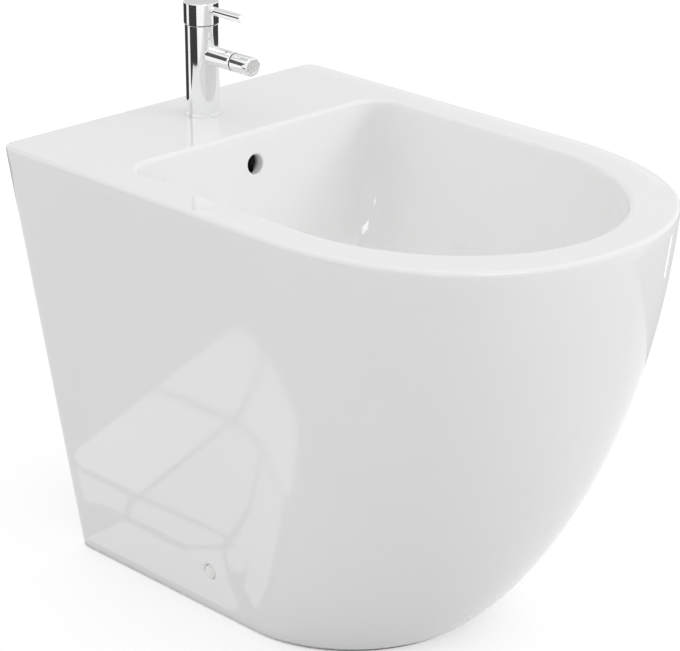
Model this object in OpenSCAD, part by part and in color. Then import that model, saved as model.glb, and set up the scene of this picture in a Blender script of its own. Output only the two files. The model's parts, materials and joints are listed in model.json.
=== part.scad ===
// Floor standing bidet: a china body with a deck mounted mixer tap, a click
// waste, a bottle trap in the hollow pedestal and side screwed floor brackets.
// +Z is up, the wall is at +Y, and the origin is on the floor at the middle of
// the footprint's box.

/* [China body] */
// Width across the rim
body_w = 363; // [345:1:385]
// Depth from the wall face to the front of the rim
body_d = 541; // [515:1:570]
// Height of the rim above the floor
body_h = 400; // [390:1:420]
// Width of the footprint
base_w = 229; // [220:1:245]
// Depth of the footprint from the wall face
base_d = 355; // [345:1:370]
// Length of the curved front at the rim
rim_curve = 218; // [190:1:240]
// Length of the curved front at the floor
base_curve = 113; // [90:1:125]
// Squareness of the rim's front, where 2 is an ellipse
rim_power = 2.23; // [2:0.01:2.6]
// Squareness of the footprint's front, where 2 is an ellipse
base_power = 1.97; // [1.8:0.01:2.4]
// Forward lean of the front over the whole height
front_lean = 26; // [10:1:40]
// Fullness of the front's belly towards the rim
belly_top = 2.09; // [1.8:0.01:2.4]
// Fullness of the front's belly towards the floor
belly_foot = 1.23; // [1:0.01:1.6]
// Radius of the upright back corners
corner_r = 14; // [5:1:20]
// Rounding of the rim's edges
rim_r = 4; // [2:0.5:6]
// Rounding of the foot's outer edge
foot_r = 2; // [1:0.5:4]
// Wall of the pedestal
wall_t = 12; // [10:0.5:14]
// Thickness of the deck and the rim
deck_t = 16; // [14:0.5:20]

/* [Bowl] */
// Width of the rim beside the bowl
rim_side = 35; // [32:1:40]
// Width of the rim in front of the bowl
rim_front = 35; // [32:1:45]
// Depth of the deck behind the bowl
deck_d = 123; // [118:1:135]
// Length of the bowl's curved front
bowl_curve = 166; // [140:1:185]
// Squareness of the bowl's front, where 2 is an ellipse
bowl_power = 1.95; // [1.8:0.01:2.3]
// Radius of the bowl's back corners
bowl_corner_r = 27; // [18:1:36]
// Depth of the bowl under the rim
bowl_depth = 150; // [135:1:160]
// Fall of the bowl's floor to the waste
bowl_fall = 12; // [6:1:16]
// Steepness of the bowl's wall
bowl_steep = 5; // [4:0.1:6.5]
// Wall of the bowl
bowl_t = 10; // [8:0.5:12]
// Diameter of the overflow hole
overflow_d = 17.5; // [14:0.5:20]
// Depth of the overflow hole's centre under the rim
overflow_down = 30.5; // [26:0.5:40]
// Diameter of the overflow duct in the china
duct_d = 14; // [10:0.5:16]
// China round the overflow duct
duct_wall = 6; // [4:0.5:8]

/* [Waste] */
// Distance of the waste from the wall face
waste_from_wall = 230; // [215:1:240]
// Diameter of the waste hole
waste_hole_d = 46; // [44.5:0.5:48]
// Diameter of the waste flange
flange_d = 63; // [60:1:66]
// Diameter of the waste's threaded tail
tail_d = 41.9; // [40:0.1:42.5]
// Bore of the waste's tail
tail_bore_d = 36.6; // [34:0.1:37]
// Length of the tail under the flange
tail_len = 68; // [62:1:76]
// Thickness of the china boss round the waste hole
boss_t = 26; // [24:1:30]
// Height of the overflow slots in the tail
slot_h = 12; // [10:0.5:14]
// Width of the overflow slots in the tail
slot_w = 16; // [12:0.5:20]
// Diameter of the plug's cover
plug_d = 61; // [56:1:64]
// Travel of the plug when it clicks open
plug_travel = 8; // [6:0.5:10]
// Diameter of the click housing in the tail
click_d = 11; // [10:0.5:12]

/* [Trap] */
// Length of the waste pipe's free end, from its stop bead to the wall face
pipe_end_len = 62; // [50:1:80]
// Height of the waste pipe's axis above the floor
outlet_h = 105; // [100:1:115]
// Outer diameter of the waste pipe and the inlet tube
pipe_d = 32; // [30:0.5:34]
// Wall of the waste pipe, the inlet tube and the cup
pipe_wall = 1.5; // [1.2:0.1:2]
// Outer diameter of the trap's upper body
trap_d = 66; // [62:1:70]
// Height of the trap's upper body
trap_h = 44; // [42:1:48]
// Depth of the trap's cup under the upper body
cup_drop = 56; // [45:1:58]

/* [Tap] */
// Distance of the tap's axis from the wall face
tap_from_wall = 56; // [50:0.5:62]
// Diameter of the tap hole in the deck
tap_hole_d = 28; // [27.5:0.5:29]
// Height of the tap above the deck
tap_h = 102.5; // [101:0.5:120]
// Diameter of the tap's body
tap_d = 29.5; // [29:0.1:30]
// Diameter of the base ring
ring_d = 31; // [31:0.5:36]
// Height of the base ring
ring_h = 3; // [2:0.5:5]
// Thickness of the rubber seal under the base ring
seal_t = 0.8; // [0.6:0.1:1]
// Depth of the body's spigot under the deck
spigot_h = 6; // [4:0.5:10]
// Diameter of the spout
spout_d = 17; // [16.6:0.1:18]
// Height of the spout's axis above the deck
spout_h = 56; // [48:0.5:56.5]
// Distance from the tap's axis to the spout's joint
spout_reach = 41; // [38:0.5:60]
// Length of the swivelling nozzle
nozzle_len = 25; // [23:0.5:30]
// Swing of the nozzle each way, in degrees
nozzle_swing = 8; // [4:0.5:8]
// Radius of the nozzle's ball
ball_r = 5; // [4.8:0.1:5.1]

/* [Tap handle] */
// Height of the cap
cap_h = 19; // [18:0.5:22]
// Diameter of the cap
cap_d = 31; // [31:0.1:31.6]
// Wall of the cap
cap_wall = 1.4; // [1.2:0.1:1.6]
// Gap between the cap and the body
cap_gap = 0.7; // [0.6:0.1:1.2]
// Diameter of the lever
lever_d = 7.5; // [6:0.1:8]
// Depth of the lever's axis under the cap's top
lever_down = 6.5; // [6:0.5:7]
// Distance from the tap's axis to the lever's tip
lever_reach = 53; // [40:0.5:70]
// Lift of the lever from closed to full flow, in degrees
lever_lift = 16; // [10:0.5:16]

/* [Cartridge] */
// Outer diameter of the cartridge
cart_d = 24.8; // [24.6:0.1:25]
// Depth of the spindle's pivot under the body's top
pivot_down = 8; // [7.5:0.5:9]
// Distance from the pivot to the spindle's lower tip
tip_down = 6; // [5:0.5:6.5]
// Diameter of the spindle
spindle_d = 6.8; // [6:0.1:7]
// Thickness of each ceramic disc
disc_t = 2.2; // [2:0.1:2.4]
// Diameter of the inlet threads in the body's foot
inlet_d = 9; // [8:0.5:9.5]
// Length of the inlet threads
inlet_len = 12; // [8:1:16]

/* [Tap fixing] */
// Diameter of the fixing stud
stud_d = 6; // [5:0.5:6]
// Length of the stud under the deck's top
stud_len = 60; // [50:1:75]
// Thickness of the rubber horseshoe
horseshoe_t = 3; // [2:0.5:4]
// Thickness of the steel horseshoe
plate_t = 2; // [1.5:0.5:3]
// Height of the long nut
stud_nut_h = 12; // [8:1:15]

/* [Floor fixing] */
// Distance of the side holes from the wall face
side_from_wall = 192.5; // [185:0.5:205]
// Height of the side holes above the floor
side_h = 43; // [36:1:50]
// Diameter of the side holes through the china
side_hole_d = 10; // [9:0.5:11]
// Diameter of the caps over the side screws
side_cap_d = 13; // [12.5:0.5:16]
// Depth of the recess for the side caps
side_recess = 6; // [5.5:0.5:7]
// Diameter of the side screws
screw_d = 6; // [5:0.5:6]
// Width of each floor bracket
bracket_w = 40; // [30:1:50]
// Height of each floor bracket
bracket_h = 62; // [58:1:75]
// Length of each bracket's foot
bracket_foot = 46; // [40:1:52]
// Thickness of the brackets
bracket_t = 4; // [3:0.5:5]
// Diameter of the floor screw holes
floor_hole_d = 9; // [7:0.5:11]

/* [Hidden] */
$fn = 64;

china = [0.96, 0.96, 0.95];
chrome = [0.80, 0.81, 0.83];
brass = [0.78, 0.66, 0.38];
steel = [0.62, 0.64, 0.66];
rubber = [0.12, 0.12, 0.13];
white_plastic = [0.92, 0.92, 0.91];
grey_plastic = [0.55, 0.56, 0.58];
alumina = [0.90, 0.87, 0.82];

// Clearances: a cut's overrun, pressed pins, threads and seats, running fits,
// loose rings and sleeves, and parts that pass each other
over = 1;
pin_gap = 0.02;
seat_gap = 0.05;
run_gap = 0.06;
slip_gap = 0.2;
clear_gap = 0.3;

// China body
wall_y = body_d / 2;
bowl_hw = body_w / 2 - rim_side;
bowl_back = wall_y - deck_d;
bowl_front = rim_front - wall_y;
curve_rise = 1.19;
corner_low_r = 1;
corner_steps = 4;
side_steps = 3;
front_steps = 13;
wall_steps = 13;
wall_bias = 1.4;
inner_steps = 9;
inner_bias = 1.3;
round_steps = 3;
bowl_angles = [9, 18, 27, 36, 45, 54, 63, 72, 81, 86.5];
deck_low_z = body_h - deck_t;
floor_z = body_h - bowl_depth;
boss_z = floor_z - boss_t;
plug_ring_r = 15;
boss_r = 40;
arch_w = 140;
arch_r = 30;
arch_down = 54;
arch_h = deck_low_z - arch_down;

// Overflow duct
duct_r = duct_d / 2;
overflow_r = overflow_d / 2;
overflow_z = body_h - overflow_down;
duct_y = bowl_back + duct_wall + duct_r;
duct_in = 2;
duct_drop = 15;
duct_bend_rise = 27;
duct_foot_z = floor_z - duct_drop;
duct_bend_z = duct_foot_z + duct_bend_rise;
overflow_lip = 1.2;
overflow_bevel = 2 * overflow_lip;
casing_low_a = 85;
casing_hw = duct_r + duct_wall;
casing_in = duct_wall / 2;
strip_side = 2;
strip_hw = casing_hw + strip_side;

// Waste
waste_y = wall_y - waste_from_wall;
waste_hole_r = waste_hole_d / 2;
flange_r = flange_d / 2;
recess_gap = 1.5;
gasket_t = 1.5;
gasket_in = 0.5;
flange_t = 3;
flange_edge = 1;
flange_seat = 3;
flange_seat_z = floor_z - flange_seat;
flange_z = flange_seat_z + gasket_t;
flange_top_z = flange_z + flange_t;
tail_r = tail_d / 2;
tail_bore_r = tail_bore_d / 2;
tail_end_z = flange_z - tail_len;
slot_z = duct_foot_z - slot_h / 2;
funnel_r = 23.5;
funnel_h = 6;
funnel_z = flange_top_z - funnel_h;
bridge_w = 6;
bridge_drop = 7;
bridge_z = slot_z - bridge_drop;
bridge_h = 4;
bridge_end = (tail_r + tail_bore_r) / 2;
hub_wall = 0.5;
hub_r = click_d / 2 + hub_wall;
hub_drop = 4;
hub_z = bridge_z - hub_drop;
click_stem_r = 3;
click_rise = 3;
click_z = bridge_z + bridge_h + click_rise;
click_r = click_d / 2;
click_wall = 1.5;
click_bore_r = click_r - click_wall;
click_floor = 2;
click_spare = 9;
click_h = plug_travel + click_spare;
click_spring_z = click_z + click_floor;
spring_turns = 5;
spring_pitch = 1.55;
spring_wire_r = 0.45;
spring_h = spring_turns * spring_pitch + 2 * spring_wire_r;
plug_r = plug_d / 2;
plug_stem_gap = 0.4;
plug_stem_r = click_bore_r - plug_stem_gap;
plug_stem_z = click_spring_z + spring_h + 2 * seat_gap;
plug_seal_drop = 3.5;
plug_seal_z = flange_top_z - plug_seal_drop;
plug_seal_h = 2;
plug_seal_gap = 0.45;
plug_hub_r = 14;
plug_neck_r = 21;
plug_gap = 1.5;
plug_cover_z = flange_top_z + plug_gap;
plug_edge = 1.6;
plug_dome_h = 3;
globe_fn = 240;
washer_r = 33;
lower_gasket_t = 3;
washer_t = 1.5;
backnut_h = 10;
backnut_r = 32;
backnut_face_r = 30;
backnut_face_h = 2;

// Trap
pipe_r = pipe_d / 2;
pipe_bore_r = pipe_r - pipe_wall;
union_r = 26;
union_grip = 12;
union_lip = 3;
inlet_flange_t = 2.5;
inlet_washer_t = 2.5;
inlet_top_z = tail_end_z - inlet_washer_t;
union_z = inlet_top_z - inlet_flange_t - union_lip;
union_h = tail_end_z + union_grip - union_z;
trap_r = trap_d / 2;
trap_wall = 2.5;
trap_top_z = outlet_h + trap_h / 2;
trap_low_z = outlet_h - trap_h / 2;
branch_wall = 4;
branch_r = pipe_r + branch_wall;
branch_bore_r = pipe_r + slip_gap;
branch_len = 58;
cup_r = trap_r - trap_wall - clear_gap;
cup_in = 6;
cup_top_z = trap_low_z + cup_in;
cup_edge = 1;
cup_low_z = trap_low_z - cup_drop;
cup_floor = 3;
cup_seal_t = 1;
grip_h = 9;
grip_r = trap_r + 1;
grip_flutes = 12;
nut_flutes = 8;
flute_r = 2;
dip_gap = 18;
outlet_nut_r = 25;
outlet_nut_len = 22;
outlet_lip = 4;
outlet_seal_len = 5;
outlet_seal_t = 1;
pipe_start = 42;
bead_w = 3;
bead_h = 1.5;
bead_end = waste_from_wall - pipe_end_len;

// Tap
deck_z = body_h;
tap_y = wall_y - tap_from_wall;
tap_r = tap_d / 2;
tap_hole_r = tap_hole_d / 2;
spigot_gap = 1.7;
spigot_r = tap_hole_r - spigot_gap;
ring_r = ring_d / 2;
ring_edge = 0.4;
ring_bore_r = spigot_r + slip_gap;
seal_in = 1;
seal_r = ring_r - seal_in;
body_top = deck_z + tap_h - cap_h - cap_gap;
top_bevel = 0.5;
spout_z = deck_z + spout_h;
spout_r = spout_d / 2;
passage_r = 2.2;
port_x = 5.9;
port_y = -2.4;
port_r = 2.5;
riser_r = 2.7;
outlet_y = 6.5;
outlet_r = 2.2;
stud_r = stud_d / 2;
stud_y = 7.5;
stud_grip = 14;
stud_short = 0.5;
horseshoe_r = 17;
horseshoe_slot = 22;
horseshoe_slot_y = 2.5;
stud_nut_r = 5.8;

// Cartridge
pivot_z = body_top - pivot_down;
tip_z = pivot_z - tip_down;
tip_r = 2;
tip_neck_r = 1.6;
carrier_floor = 1;
carrier_z = tip_z - tip_r - clear_gap - carrier_floor;
moving_z = carrier_z - disc_t;
fixed_z = moving_z - disc_t;
cart_floor = 1.8;
cart_z = fixed_z - cart_floor;
cart_r = cart_d / 2;
cart_wall = 1.1;
cart_bore_r = cart_r - cart_wall;
cart_lip_rise = 2.9;
cart_lip_z = pivot_z + cart_lip_rise;
cart_lip_t = 1.5;
cart_top_z = cart_lip_z + cart_lip_t;
cart_lip_in = 1.4;
cart_lip_r = cart_bore_r - cart_lip_in;
disc_gap = 0.05;
mix_r = 1.8;
mix_y = outlet_y - 1;
tip_travel = tip_down * sin(lever_lift);
disc_r = cart_bore_r - tip_travel - clear_gap;
carrier_gap = 1.4;
carrier_h = pivot_z - spindle_d / 2 - carrier_gap - carrier_z;
tab_x = 6.75;
tab_w = 2.5;
tab_y = 2;
tab_h = 1.8;
rotor_gap = 0.4;
rotor_z = carrier_z + carrier_h + rotor_gap;
rotor_r = cart_bore_r - clear_gap;
rotor_neck_r = cart_lip_r - clear_gap;
rotor_rise = 1.2;
rotor_top_z = cart_top_z + rotor_rise;
rotor_slot_w = spindle_d + 2 * clear_gap;
rotor_slot_gap = 0.8;
rotor_slot_front = spindle_d / 2 + rotor_slot_gap;
rotor_slot_back = rotor_slot_front + (rotor_top_z - pivot_z) * tan(lever_lift);
pin_r = 1.5;
pin_in = 0.4;
nut_proud = 0.6;
nut_r = cart_r + nut_proud;
nut_bore_r = cart_lip_r + clear_gap;
nut_top_z = body_top - slip_gap;
nut_slot = 2;
seal_ring_r = 0.6;

// Handle
cap_r = cap_d / 2;
cap_z = body_top + cap_gap;
cap_top_z = deck_z + tap_h;
cap_edge = 0.8;
cap_roof = 3;
cap_bevel_h = 1.5;
cap_rim_t = 0.6;
boss_out_r = 6.5;
cap_boss_rise = 4.4;
cap_boss_z = cap_z + cap_boss_rise;
spindle_r = spindle_d / 2;
spindle_down = 1.2;
spindle_top_z = cap_top_z - cap_roof - spindle_down;
lever_z = cap_top_z - lever_down;
lever_r = lever_d / 2;
lever_stem_r = 2.4;
lever_stem_in = spindle_r + clear_gap;
lever_seat = boss_out_r + seat_gap;
lever_bevel = 0.5;
screw_rise = 7.9;
screw_z = cap_z + screw_rise;
grub_r = 2;
grub_len = 4.5;
grub_key_r = 1;
grub_key_h = 1.5;
index_r = 2.6;
index_proud = 0.4;

// Nozzle, on the spout's own axis
seam_back = 5;
ball_s = spout_reach - seam_back;
dome_r = sqrt(pow(seam_back, 2) + pow(spout_r, 2));
socket_r = dome_r + clear_gap + seat_gap;
ball_gap = 0.3;
collar_r = 6.6;
collar_mouth_r = ball_r - clear_gap;
collar_back = 1.2;
stem_r = 3.4;
stem_bore_r = 2.2;
stem_swing = nozzle_swing * sqrt(2);
mouth_out_r = stem_r / cos(stem_swing) + dome_r * sin(stem_swing) + clear_gap;
stem_end = 17.5;
tip_s = spout_reach + nozzle_len;
nozzle_wall = 2;
insert_r = spout_r - nozzle_wall;
aerator_len = 10;
aerator_recess = 1;
aerator_seal_t = 1;
insert_wall = 1.2;
groove_h = 2;
groove_w = 1;
groove_step = insert_r / 3;
nozzle_edge = 0.4;
seal_zone_back = 5;
seal_zone_front = 2.5;
seal_wall = 1.3;
seal_out_r = ball_r + seal_wall;
seat_depth = 7;

// Floor fixing
side_y = wall_y - side_from_wall;
side_x = half_w(rise(side_h));
recess_x = side_x - side_recess;
cap_rad = side_cap_d / 2;
recess_rad = cap_rad + clear_gap;
screw_r = screw_d / 2;
head_r = 5;
head_h = 2.4;
screw_out = 3;
screw_key_r = 2;
screw_key_h = 1.4;
sleeve_lip = 1;
side_cap_t = 1.2;
bracket_gap = 1.5;
bracket_x = base_w / 2 - wall_t - bracket_gap;
bracket_nut_r = 5.8;
bracket_nut_h = 5;
floor_hole_x = bracket_x - bracket_foot / 2 - bracket_t / 2;

function lerp(a, b, t) = a + (b - a) * t;
function flip(list) = [for (i = [len(list) - 1:-1:0]) list[i]];

// The body's plan at the share s of its height, from 0 at the floor to 1 at the rim
function rise(z) = min(1, z / (body_h - rim_r));
function half_w(s) = lerp(base_w, body_w, s) / 2;
function belly(s) = pow(1 - pow(1 - s, belly_top), 1 / belly_foot);
function front_y(s) = wall_y - base_d - front_lean * s - (body_d - base_d - front_lean) * belly(s);
function curve_len(s) = lerp(base_curve, rim_curve, pow(s, curve_rise));
function front_power(s) = lerp(base_power, rim_power, s);

// Half of a D-shaped plan, from the middle of its back to the middle of its front
function half_plan(hw, back, front, nose, power, r) = concat(
    [[0, back], [(hw - r) / 2, back]],
    [for (i = [0:corner_steps])
        let (a = 90 * i / corner_steps)
        [hw - r + r * sin(a), back - r + r * cos(a)]],
    [for (i = [1:side_steps]) [hw, lerp(back - r, front + nose, i / side_steps)]],
    [for (i = [1:front_steps])
        let (a = 90 * i / front_steps)
        [hw * pow(cos(a), 2 / power), front + nose * (1 - pow(sin(a), 2 / power))]]);
function mirrored(half) = concat(half, [for (i = [len(half) - 2:-1:1]) [-half[i][0], half[i][1]]]);
function at_height(plan, z) = [for (q = plan) [q[0], q[1], z]];

// One ring of the pedestal, set in from its face, and one of the bowl's edge
function shell_ring(z, inset) =
    let (s = rise(z))
    at_height(mirrored(half_plan(half_w(s) - inset, wall_y - inset, front_y(s) + inset,
        curve_len(s) - inset, front_power(s), max(corner_r - inset, corner_low_r))), z);
function bowl_plan(grow) = mirrored(half_plan(bowl_hw + grow, bowl_back + grow, bowl_front - grow,
    bowl_curve + grow, bowl_power, bowl_corner_r + grow));

// A plan drawn in towards a circle of radius r round the waste
function drawn_in(plan, r, u) = [for (q = plan)
    let (v = [q[0], q[1] - waste_y], d = norm(v), k = (r + (d - r) * u) / d)
    [v[0] * k, waste_y + v[1] * k]];
function bowl_u(a) = pow(cos(a), 2 / bowl_steep);
function bowl_z(a, top, low) = top - (top - low - bowl_fall) * sin(a) - bowl_fall * (1 - bowl_u(a));
function bowl_ring(a) = at_height(drawn_in(bowl_plan(0), plug_ring_r, bowl_u(a)),
    bowl_z(a, body_h - rim_r, floor_z));
function under_ring(a) = at_height(drawn_in(bowl_plan(bowl_t), boss_r, bowl_u(a)),
    bowl_z(a, deck_low_z, floor_z - bowl_t));

// Where the bowl's wall passes the deck's underside, found in three steps
function low_a(u) = asin((deck_t - rim_r - bowl_fall * (1 - u)) / (body_h - rim_r - floor_z - bowl_fall));
bowl_edge_u = bowl_u(low_a(bowl_u(low_a(bowl_u(low_a(1))))));
bowl_edge = at_height(drawn_in(bowl_plan(0), plug_ring_r, bowl_edge_u), deck_low_z);

// Where the bowl's back wall meets the overflow's axis
overflow_a = asin((body_h - rim_r - overflow_z) / (body_h - rim_r - floor_z - bowl_fall));
overflow_face_y = lerp(waste_y + plug_ring_r, bowl_back, bowl_u(overflow_a));

// The pedestal's skin as rings: foot, outside and inside
wall_zs = [for (i = [1:wall_steps]) foot_r + (deck_low_z - foot_r) * pow(i / wall_steps, wall_bias)];
inner_zs = [for (i = [0:inner_steps]) deck_low_z * pow(i / inner_steps, inner_bias)];
pedestal_rings = concat(
    [for (i = [0:round_steps])
        let (a = 90 * i / round_steps)
        shell_ring(foot_r * (1 - cos(a)), foot_r * (1 - sin(a)))],
    [for (z = wall_zs) shell_ring(z, 0)],
    [for (z = flip(inner_zs)) shell_ring(z, wall_t)]);

// The deck's skin: its edge, the rim's rounded edges and the mouth of the bowl
deck_rings = concat(
    [for (z = [deck_low_z, body_h - rim_r]) shell_ring(z, 0)],
    [for (i = [1:round_steps])
        let (a = 90 * i / round_steps)
        shell_ring(body_h - rim_r * (1 - sin(a)), rim_r * (1 - cos(a)))],
    [for (i = [0:round_steps])
        let (a = 90 * i / round_steps)
        at_height(bowl_plan(rim_r * (1 - sin(a))), body_h - rim_r * (1 - cos(a)))],
    [bowl_edge]);

// The bowl's skin: inside, waste hole, boss and underside
bowl_rings = concat(
    [bowl_edge],
    [for (a = bowl_angles) bowl_ring(a)],
    [at_height(drawn_in(bowl_plan(0), plug_ring_r, 0), floor_z)],
    [at_height(drawn_in(bowl_plan(0), plug_ring_r, 0), boss_z)],
    [at_height(drawn_in(bowl_plan(0), boss_r, 0), boss_z)],
    [at_height(drawn_in(bowl_plan(bowl_t), boss_r, 0), floor_z - bowl_t)],
    [for (a = flip(bowl_angles)) under_ring(a)],
    [under_ring(0)]);

// A closed skin through rings that return to the first one
module ring_skin(rings) {
    n = len(rings[0]);
    m = len(rings);
    points = [for (ring = rings) for (q = ring) q];
    faces = [for (j = [0:m - 1]) for (i = [0:n - 1])
        let (k = (i + 1) % n, low = j * n, high = (j + 1) % m * n)
        let (a = low + i, b = low + k, c = high + i, d = high + k)
        for (f = [[a, b, d], [a, d, c]]) f];
    polyhedron(points = points, faces = faces, convexity = 8);
}

// Plain turned shapes
module disc(r, z0, z1) {
    translate([0, 0, z0]) cylinder(r = r, h = z1 - z0);
}
module tube(r, bore, z0, z1) {
    difference() {
        disc(r, z0, z1);
        disc(bore, z0 - over, z1 + over);
    }
}
module cone(r0, r1, z0, z1) {
    translate([0, 0, z0]) cylinder(r1 = r0, r2 = r1, h = z1 - z0);
}
module hexagon(r, z0, z1) {
    translate([0, 0, z0]) cylinder(r = r, h = z1 - z0, $fn = 6);
}
module flutes(count, r, z0, z1) {
    for (i = [1:count])
        rotate([0, 0, 360 * i / count]) translate([r + flute_r / 2, 0, 0]) disc(flute_r, z0, z1);
}
module block(low, high) {
    translate(low) cube(high - low);
}

// Local frames: the tap's axis, the spout's axis towards the front, the waste's
// axis, the outlet's axis towards the wall, and both side screws
module at_tap() { translate([0, tap_y, 0]) children(); }
module at_spout() { translate([0, tap_y, spout_z]) rotate([90, 0, 0]) children(); }
module at_waste() { translate([0, waste_y, 0]) children(); }
module at_outlet() { translate([0, waste_y, outlet_h]) rotate([-90, 0, 0]) children(); }
module at_sides() {
    translate([0, side_y, side_h]) rotate([0, 90, 0]) children();
    translate([0, side_y, side_h]) rotate([0, -90, 0]) children();
}

// A cylinder between two points of the middle plane, each given as y and z
module bored(r, from, to) {
    d = to - from;
    translate([0, from[0], from[1]]) rotate([-90 + atan2(d[1], d[0]), 0, 0]) cylinder(r = r, h = norm(d));
}

// The thickened china that holds the overflow duct, seen from the side
module duct_casing() {
    back = bowl_back - waste_y;
    mid = [for (a = bowl_angles)
        if (a < casing_low_a)
        let (u = bowl_u(a))
        [waste_y + (lerp(plug_ring_r, back, u) + lerp(boss_r, back + bowl_t, u)) / 2,
            (bowl_z(a, body_h - rim_r, floor_z) + bowl_z(a, deck_low_z, floor_z - bowl_t)) / 2]];
    outline = concat([[bowl_back + bowl_t / 2, deck_low_z + over]], mid, [
        [waste_y + boss_r - casing_in, boss_z],
        [duct_y + casing_hw, duct_bend_z - casing_hw],
        [duct_y + casing_hw, deck_low_z + over]]);
    translate([-casing_hw, 0, 0]) rotate([90, 0, 90]) linear_extrude(height = 2 * casing_hw)
        polygon(outline);
}

// The room, up to a height, of the strip of the bowl's wall that carries the casing
module duct_strip(top) {
    block([-strip_hw, waste_y + boss_r - casing_in, boss_z - over], [strip_hw, duct_y + 2 * casing_hw, top]);
}

// The bore from the bowl's back wall, down the casing and back to the waste
module overflow_bores() {
    translate([0, overflow_face_y, overflow_z]) rotate([90, 0, 0])
        cone(overflow_r - overflow_lip, overflow_r + 3 * overflow_lip, -overflow_bevel, overflow_bevel);
    bored(overflow_r, [bowl_back - rim_r, overflow_z], [duct_y, overflow_z]);
    bored(duct_r, [duct_y, overflow_z], [duct_y, duct_bend_z]);
    translate([0, duct_y, duct_bend_z]) sphere(r = duct_r + slip_gap);
    bored(duct_r, [duct_y, duct_bend_z], [waste_y + waste_hole_r - duct_in, duct_foot_z]);
}

// The china, fired as one, in four pieces that meet face to face
module ceramic_pedestal() {
    color(china) difference() {
        ring_skin(pedestal_rings);
        at_sides() {
            disc(side_hole_d / 2, recess_x - wall_t - over, side_x);
            disc(recess_rad, recess_x, side_x + wall_t);
        }
        translate([0, wall_y + over, 0]) rotate([90, 0, 0]) linear_extrude(height = wall_t + 2 * over)
            arch_opening();
    }
}
module ceramic_bowl() {
    color(china) difference() {
        ring_skin(bowl_rings);
        at_waste() disc(waste_hole_r, boss_z - over, floor_z + over);
        at_waste() disc(flange_r + recess_gap, flange_seat_z, floor_z + bowl_fall);
        duct_strip(deck_low_z + over);
        overflow_bores();
    }
}
module ceramic_duct() {
    color(china) difference() {
        intersection() {
            union() {
                ring_skin(bowl_rings);
                duct_casing();
            }
            duct_strip(deck_low_z);
        }
        overflow_bores();
    }
}
module ceramic_deck() {
    color(china) difference() {
        ring_skin(deck_rings);
        at_tap() disc(tap_hole_r, deck_low_z - over, body_h + over);
    }
}
module arch_opening() {
    translate([-arch_w / 2, -over]) square([arch_w, arch_h - arch_r + over]);
    translate([arch_r - arch_w / 2, 0]) square([arch_w - 2 * arch_r, arch_h]);
    for (x = [-1, 1]) translate([x * (arch_w / 2 - arch_r), arch_h - arch_r]) circle(r = arch_r);
}

// Tap body: column, spout with a domed end, spigot, inlets and outlet passage
module tap_body() {
    color(chrome) difference() {
        union() {
            at_tap() {
                disc(tap_r, deck_z + ring_h, body_top - top_bevel);
                cone(tap_r, tap_r - top_bevel, body_top - top_bevel, body_top);
                disc(spigot_r, deck_z - spigot_h, deck_z + ring_h + over);
            }
            at_spout() {
                disc(spout_r, 0, ball_s);
                intersection() {
                    disc(spout_r, ball_s, tip_s);
                    translate([0, 0, ball_s]) sphere(r = dome_r);
                }
            }
        }
        at_tap() {
            disc(cart_r + 2 * seat_gap, cart_z, body_top + over);
            disc(nut_r + seat_gap, cart_top_z, body_top + over);
            for (x = [-1, 1]) translate([x * port_x, port_y, 0]) {
                disc(inlet_d / 2, deck_z - spigot_h - over, deck_z - spigot_h + inlet_len);
                disc(riser_r, deck_z, cart_z + over);
            }
            translate([0, outlet_y, 0]) disc(outlet_r, spout_z, cart_z + over);
            translate([0, stud_y, 0])
                disc(stud_r + seat_gap, deck_z - spigot_h - over, deck_z - spigot_h + stud_grip);
        }
        at_spout() {
            disc(passage_r, -outlet_y, ball_s);
            disc(collar_r + seat_gap, ball_s - seat_depth, tip_s);
        }
    }
}
module tap_base_ring() {
    color(chrome) at_tap() difference() {
        union() {
            disc(ring_r, deck_z, deck_z + ring_h - ring_edge);
            cone(ring_r, ring_r - ring_edge, deck_z + ring_h - ring_edge, deck_z + ring_h);
        }
        disc(ring_bore_r, deck_z - over, deck_z + ring_h + over);
        disc(seal_r + seat_gap, deck_z - over, deck_z + seal_t);
    }
}
module tap_base_seal() {
    color(rubber) at_tap() tube(seal_r, ring_bore_r, deck_z, deck_z + seal_t);
}
module fixing_stud() {
    color(steel) at_tap() translate([0, stud_y, 0])
        disc(stud_r, deck_z - stud_len, deck_z - spigot_h + stud_grip - stud_short);
}

// A plate with an open slot for the inlets and a hole for the stud
module horseshoe(z0, z1) {
    at_tap() difference() {
        disc(horseshoe_r, z0, z1);
        block([-horseshoe_slot / 2, -horseshoe_r - over, z0 - over],
            [horseshoe_slot / 2, horseshoe_slot_y, z1 + over]);
        translate([0, stud_y, 0]) disc(stud_r + slip_gap, z0 - over, z1 + over);
    }
}
module horseshoe_gasket() {
    color(rubber) horseshoe(deck_low_z - horseshoe_t, deck_low_z);
}
module horseshoe_plate() {
    color(steel) horseshoe(deck_low_z - horseshoe_t - plate_t, deck_low_z - horseshoe_t);
}
module stud_nut() {
    top = deck_low_z - horseshoe_t - plate_t;
    color(brass) at_tap() translate([0, stud_y, 0]) difference() {
        hexagon(stud_nut_r, top - stud_nut_h, top);
        disc(stud_r + seat_gap, top - stud_nut_h - over, top + over);
    }
}

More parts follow.
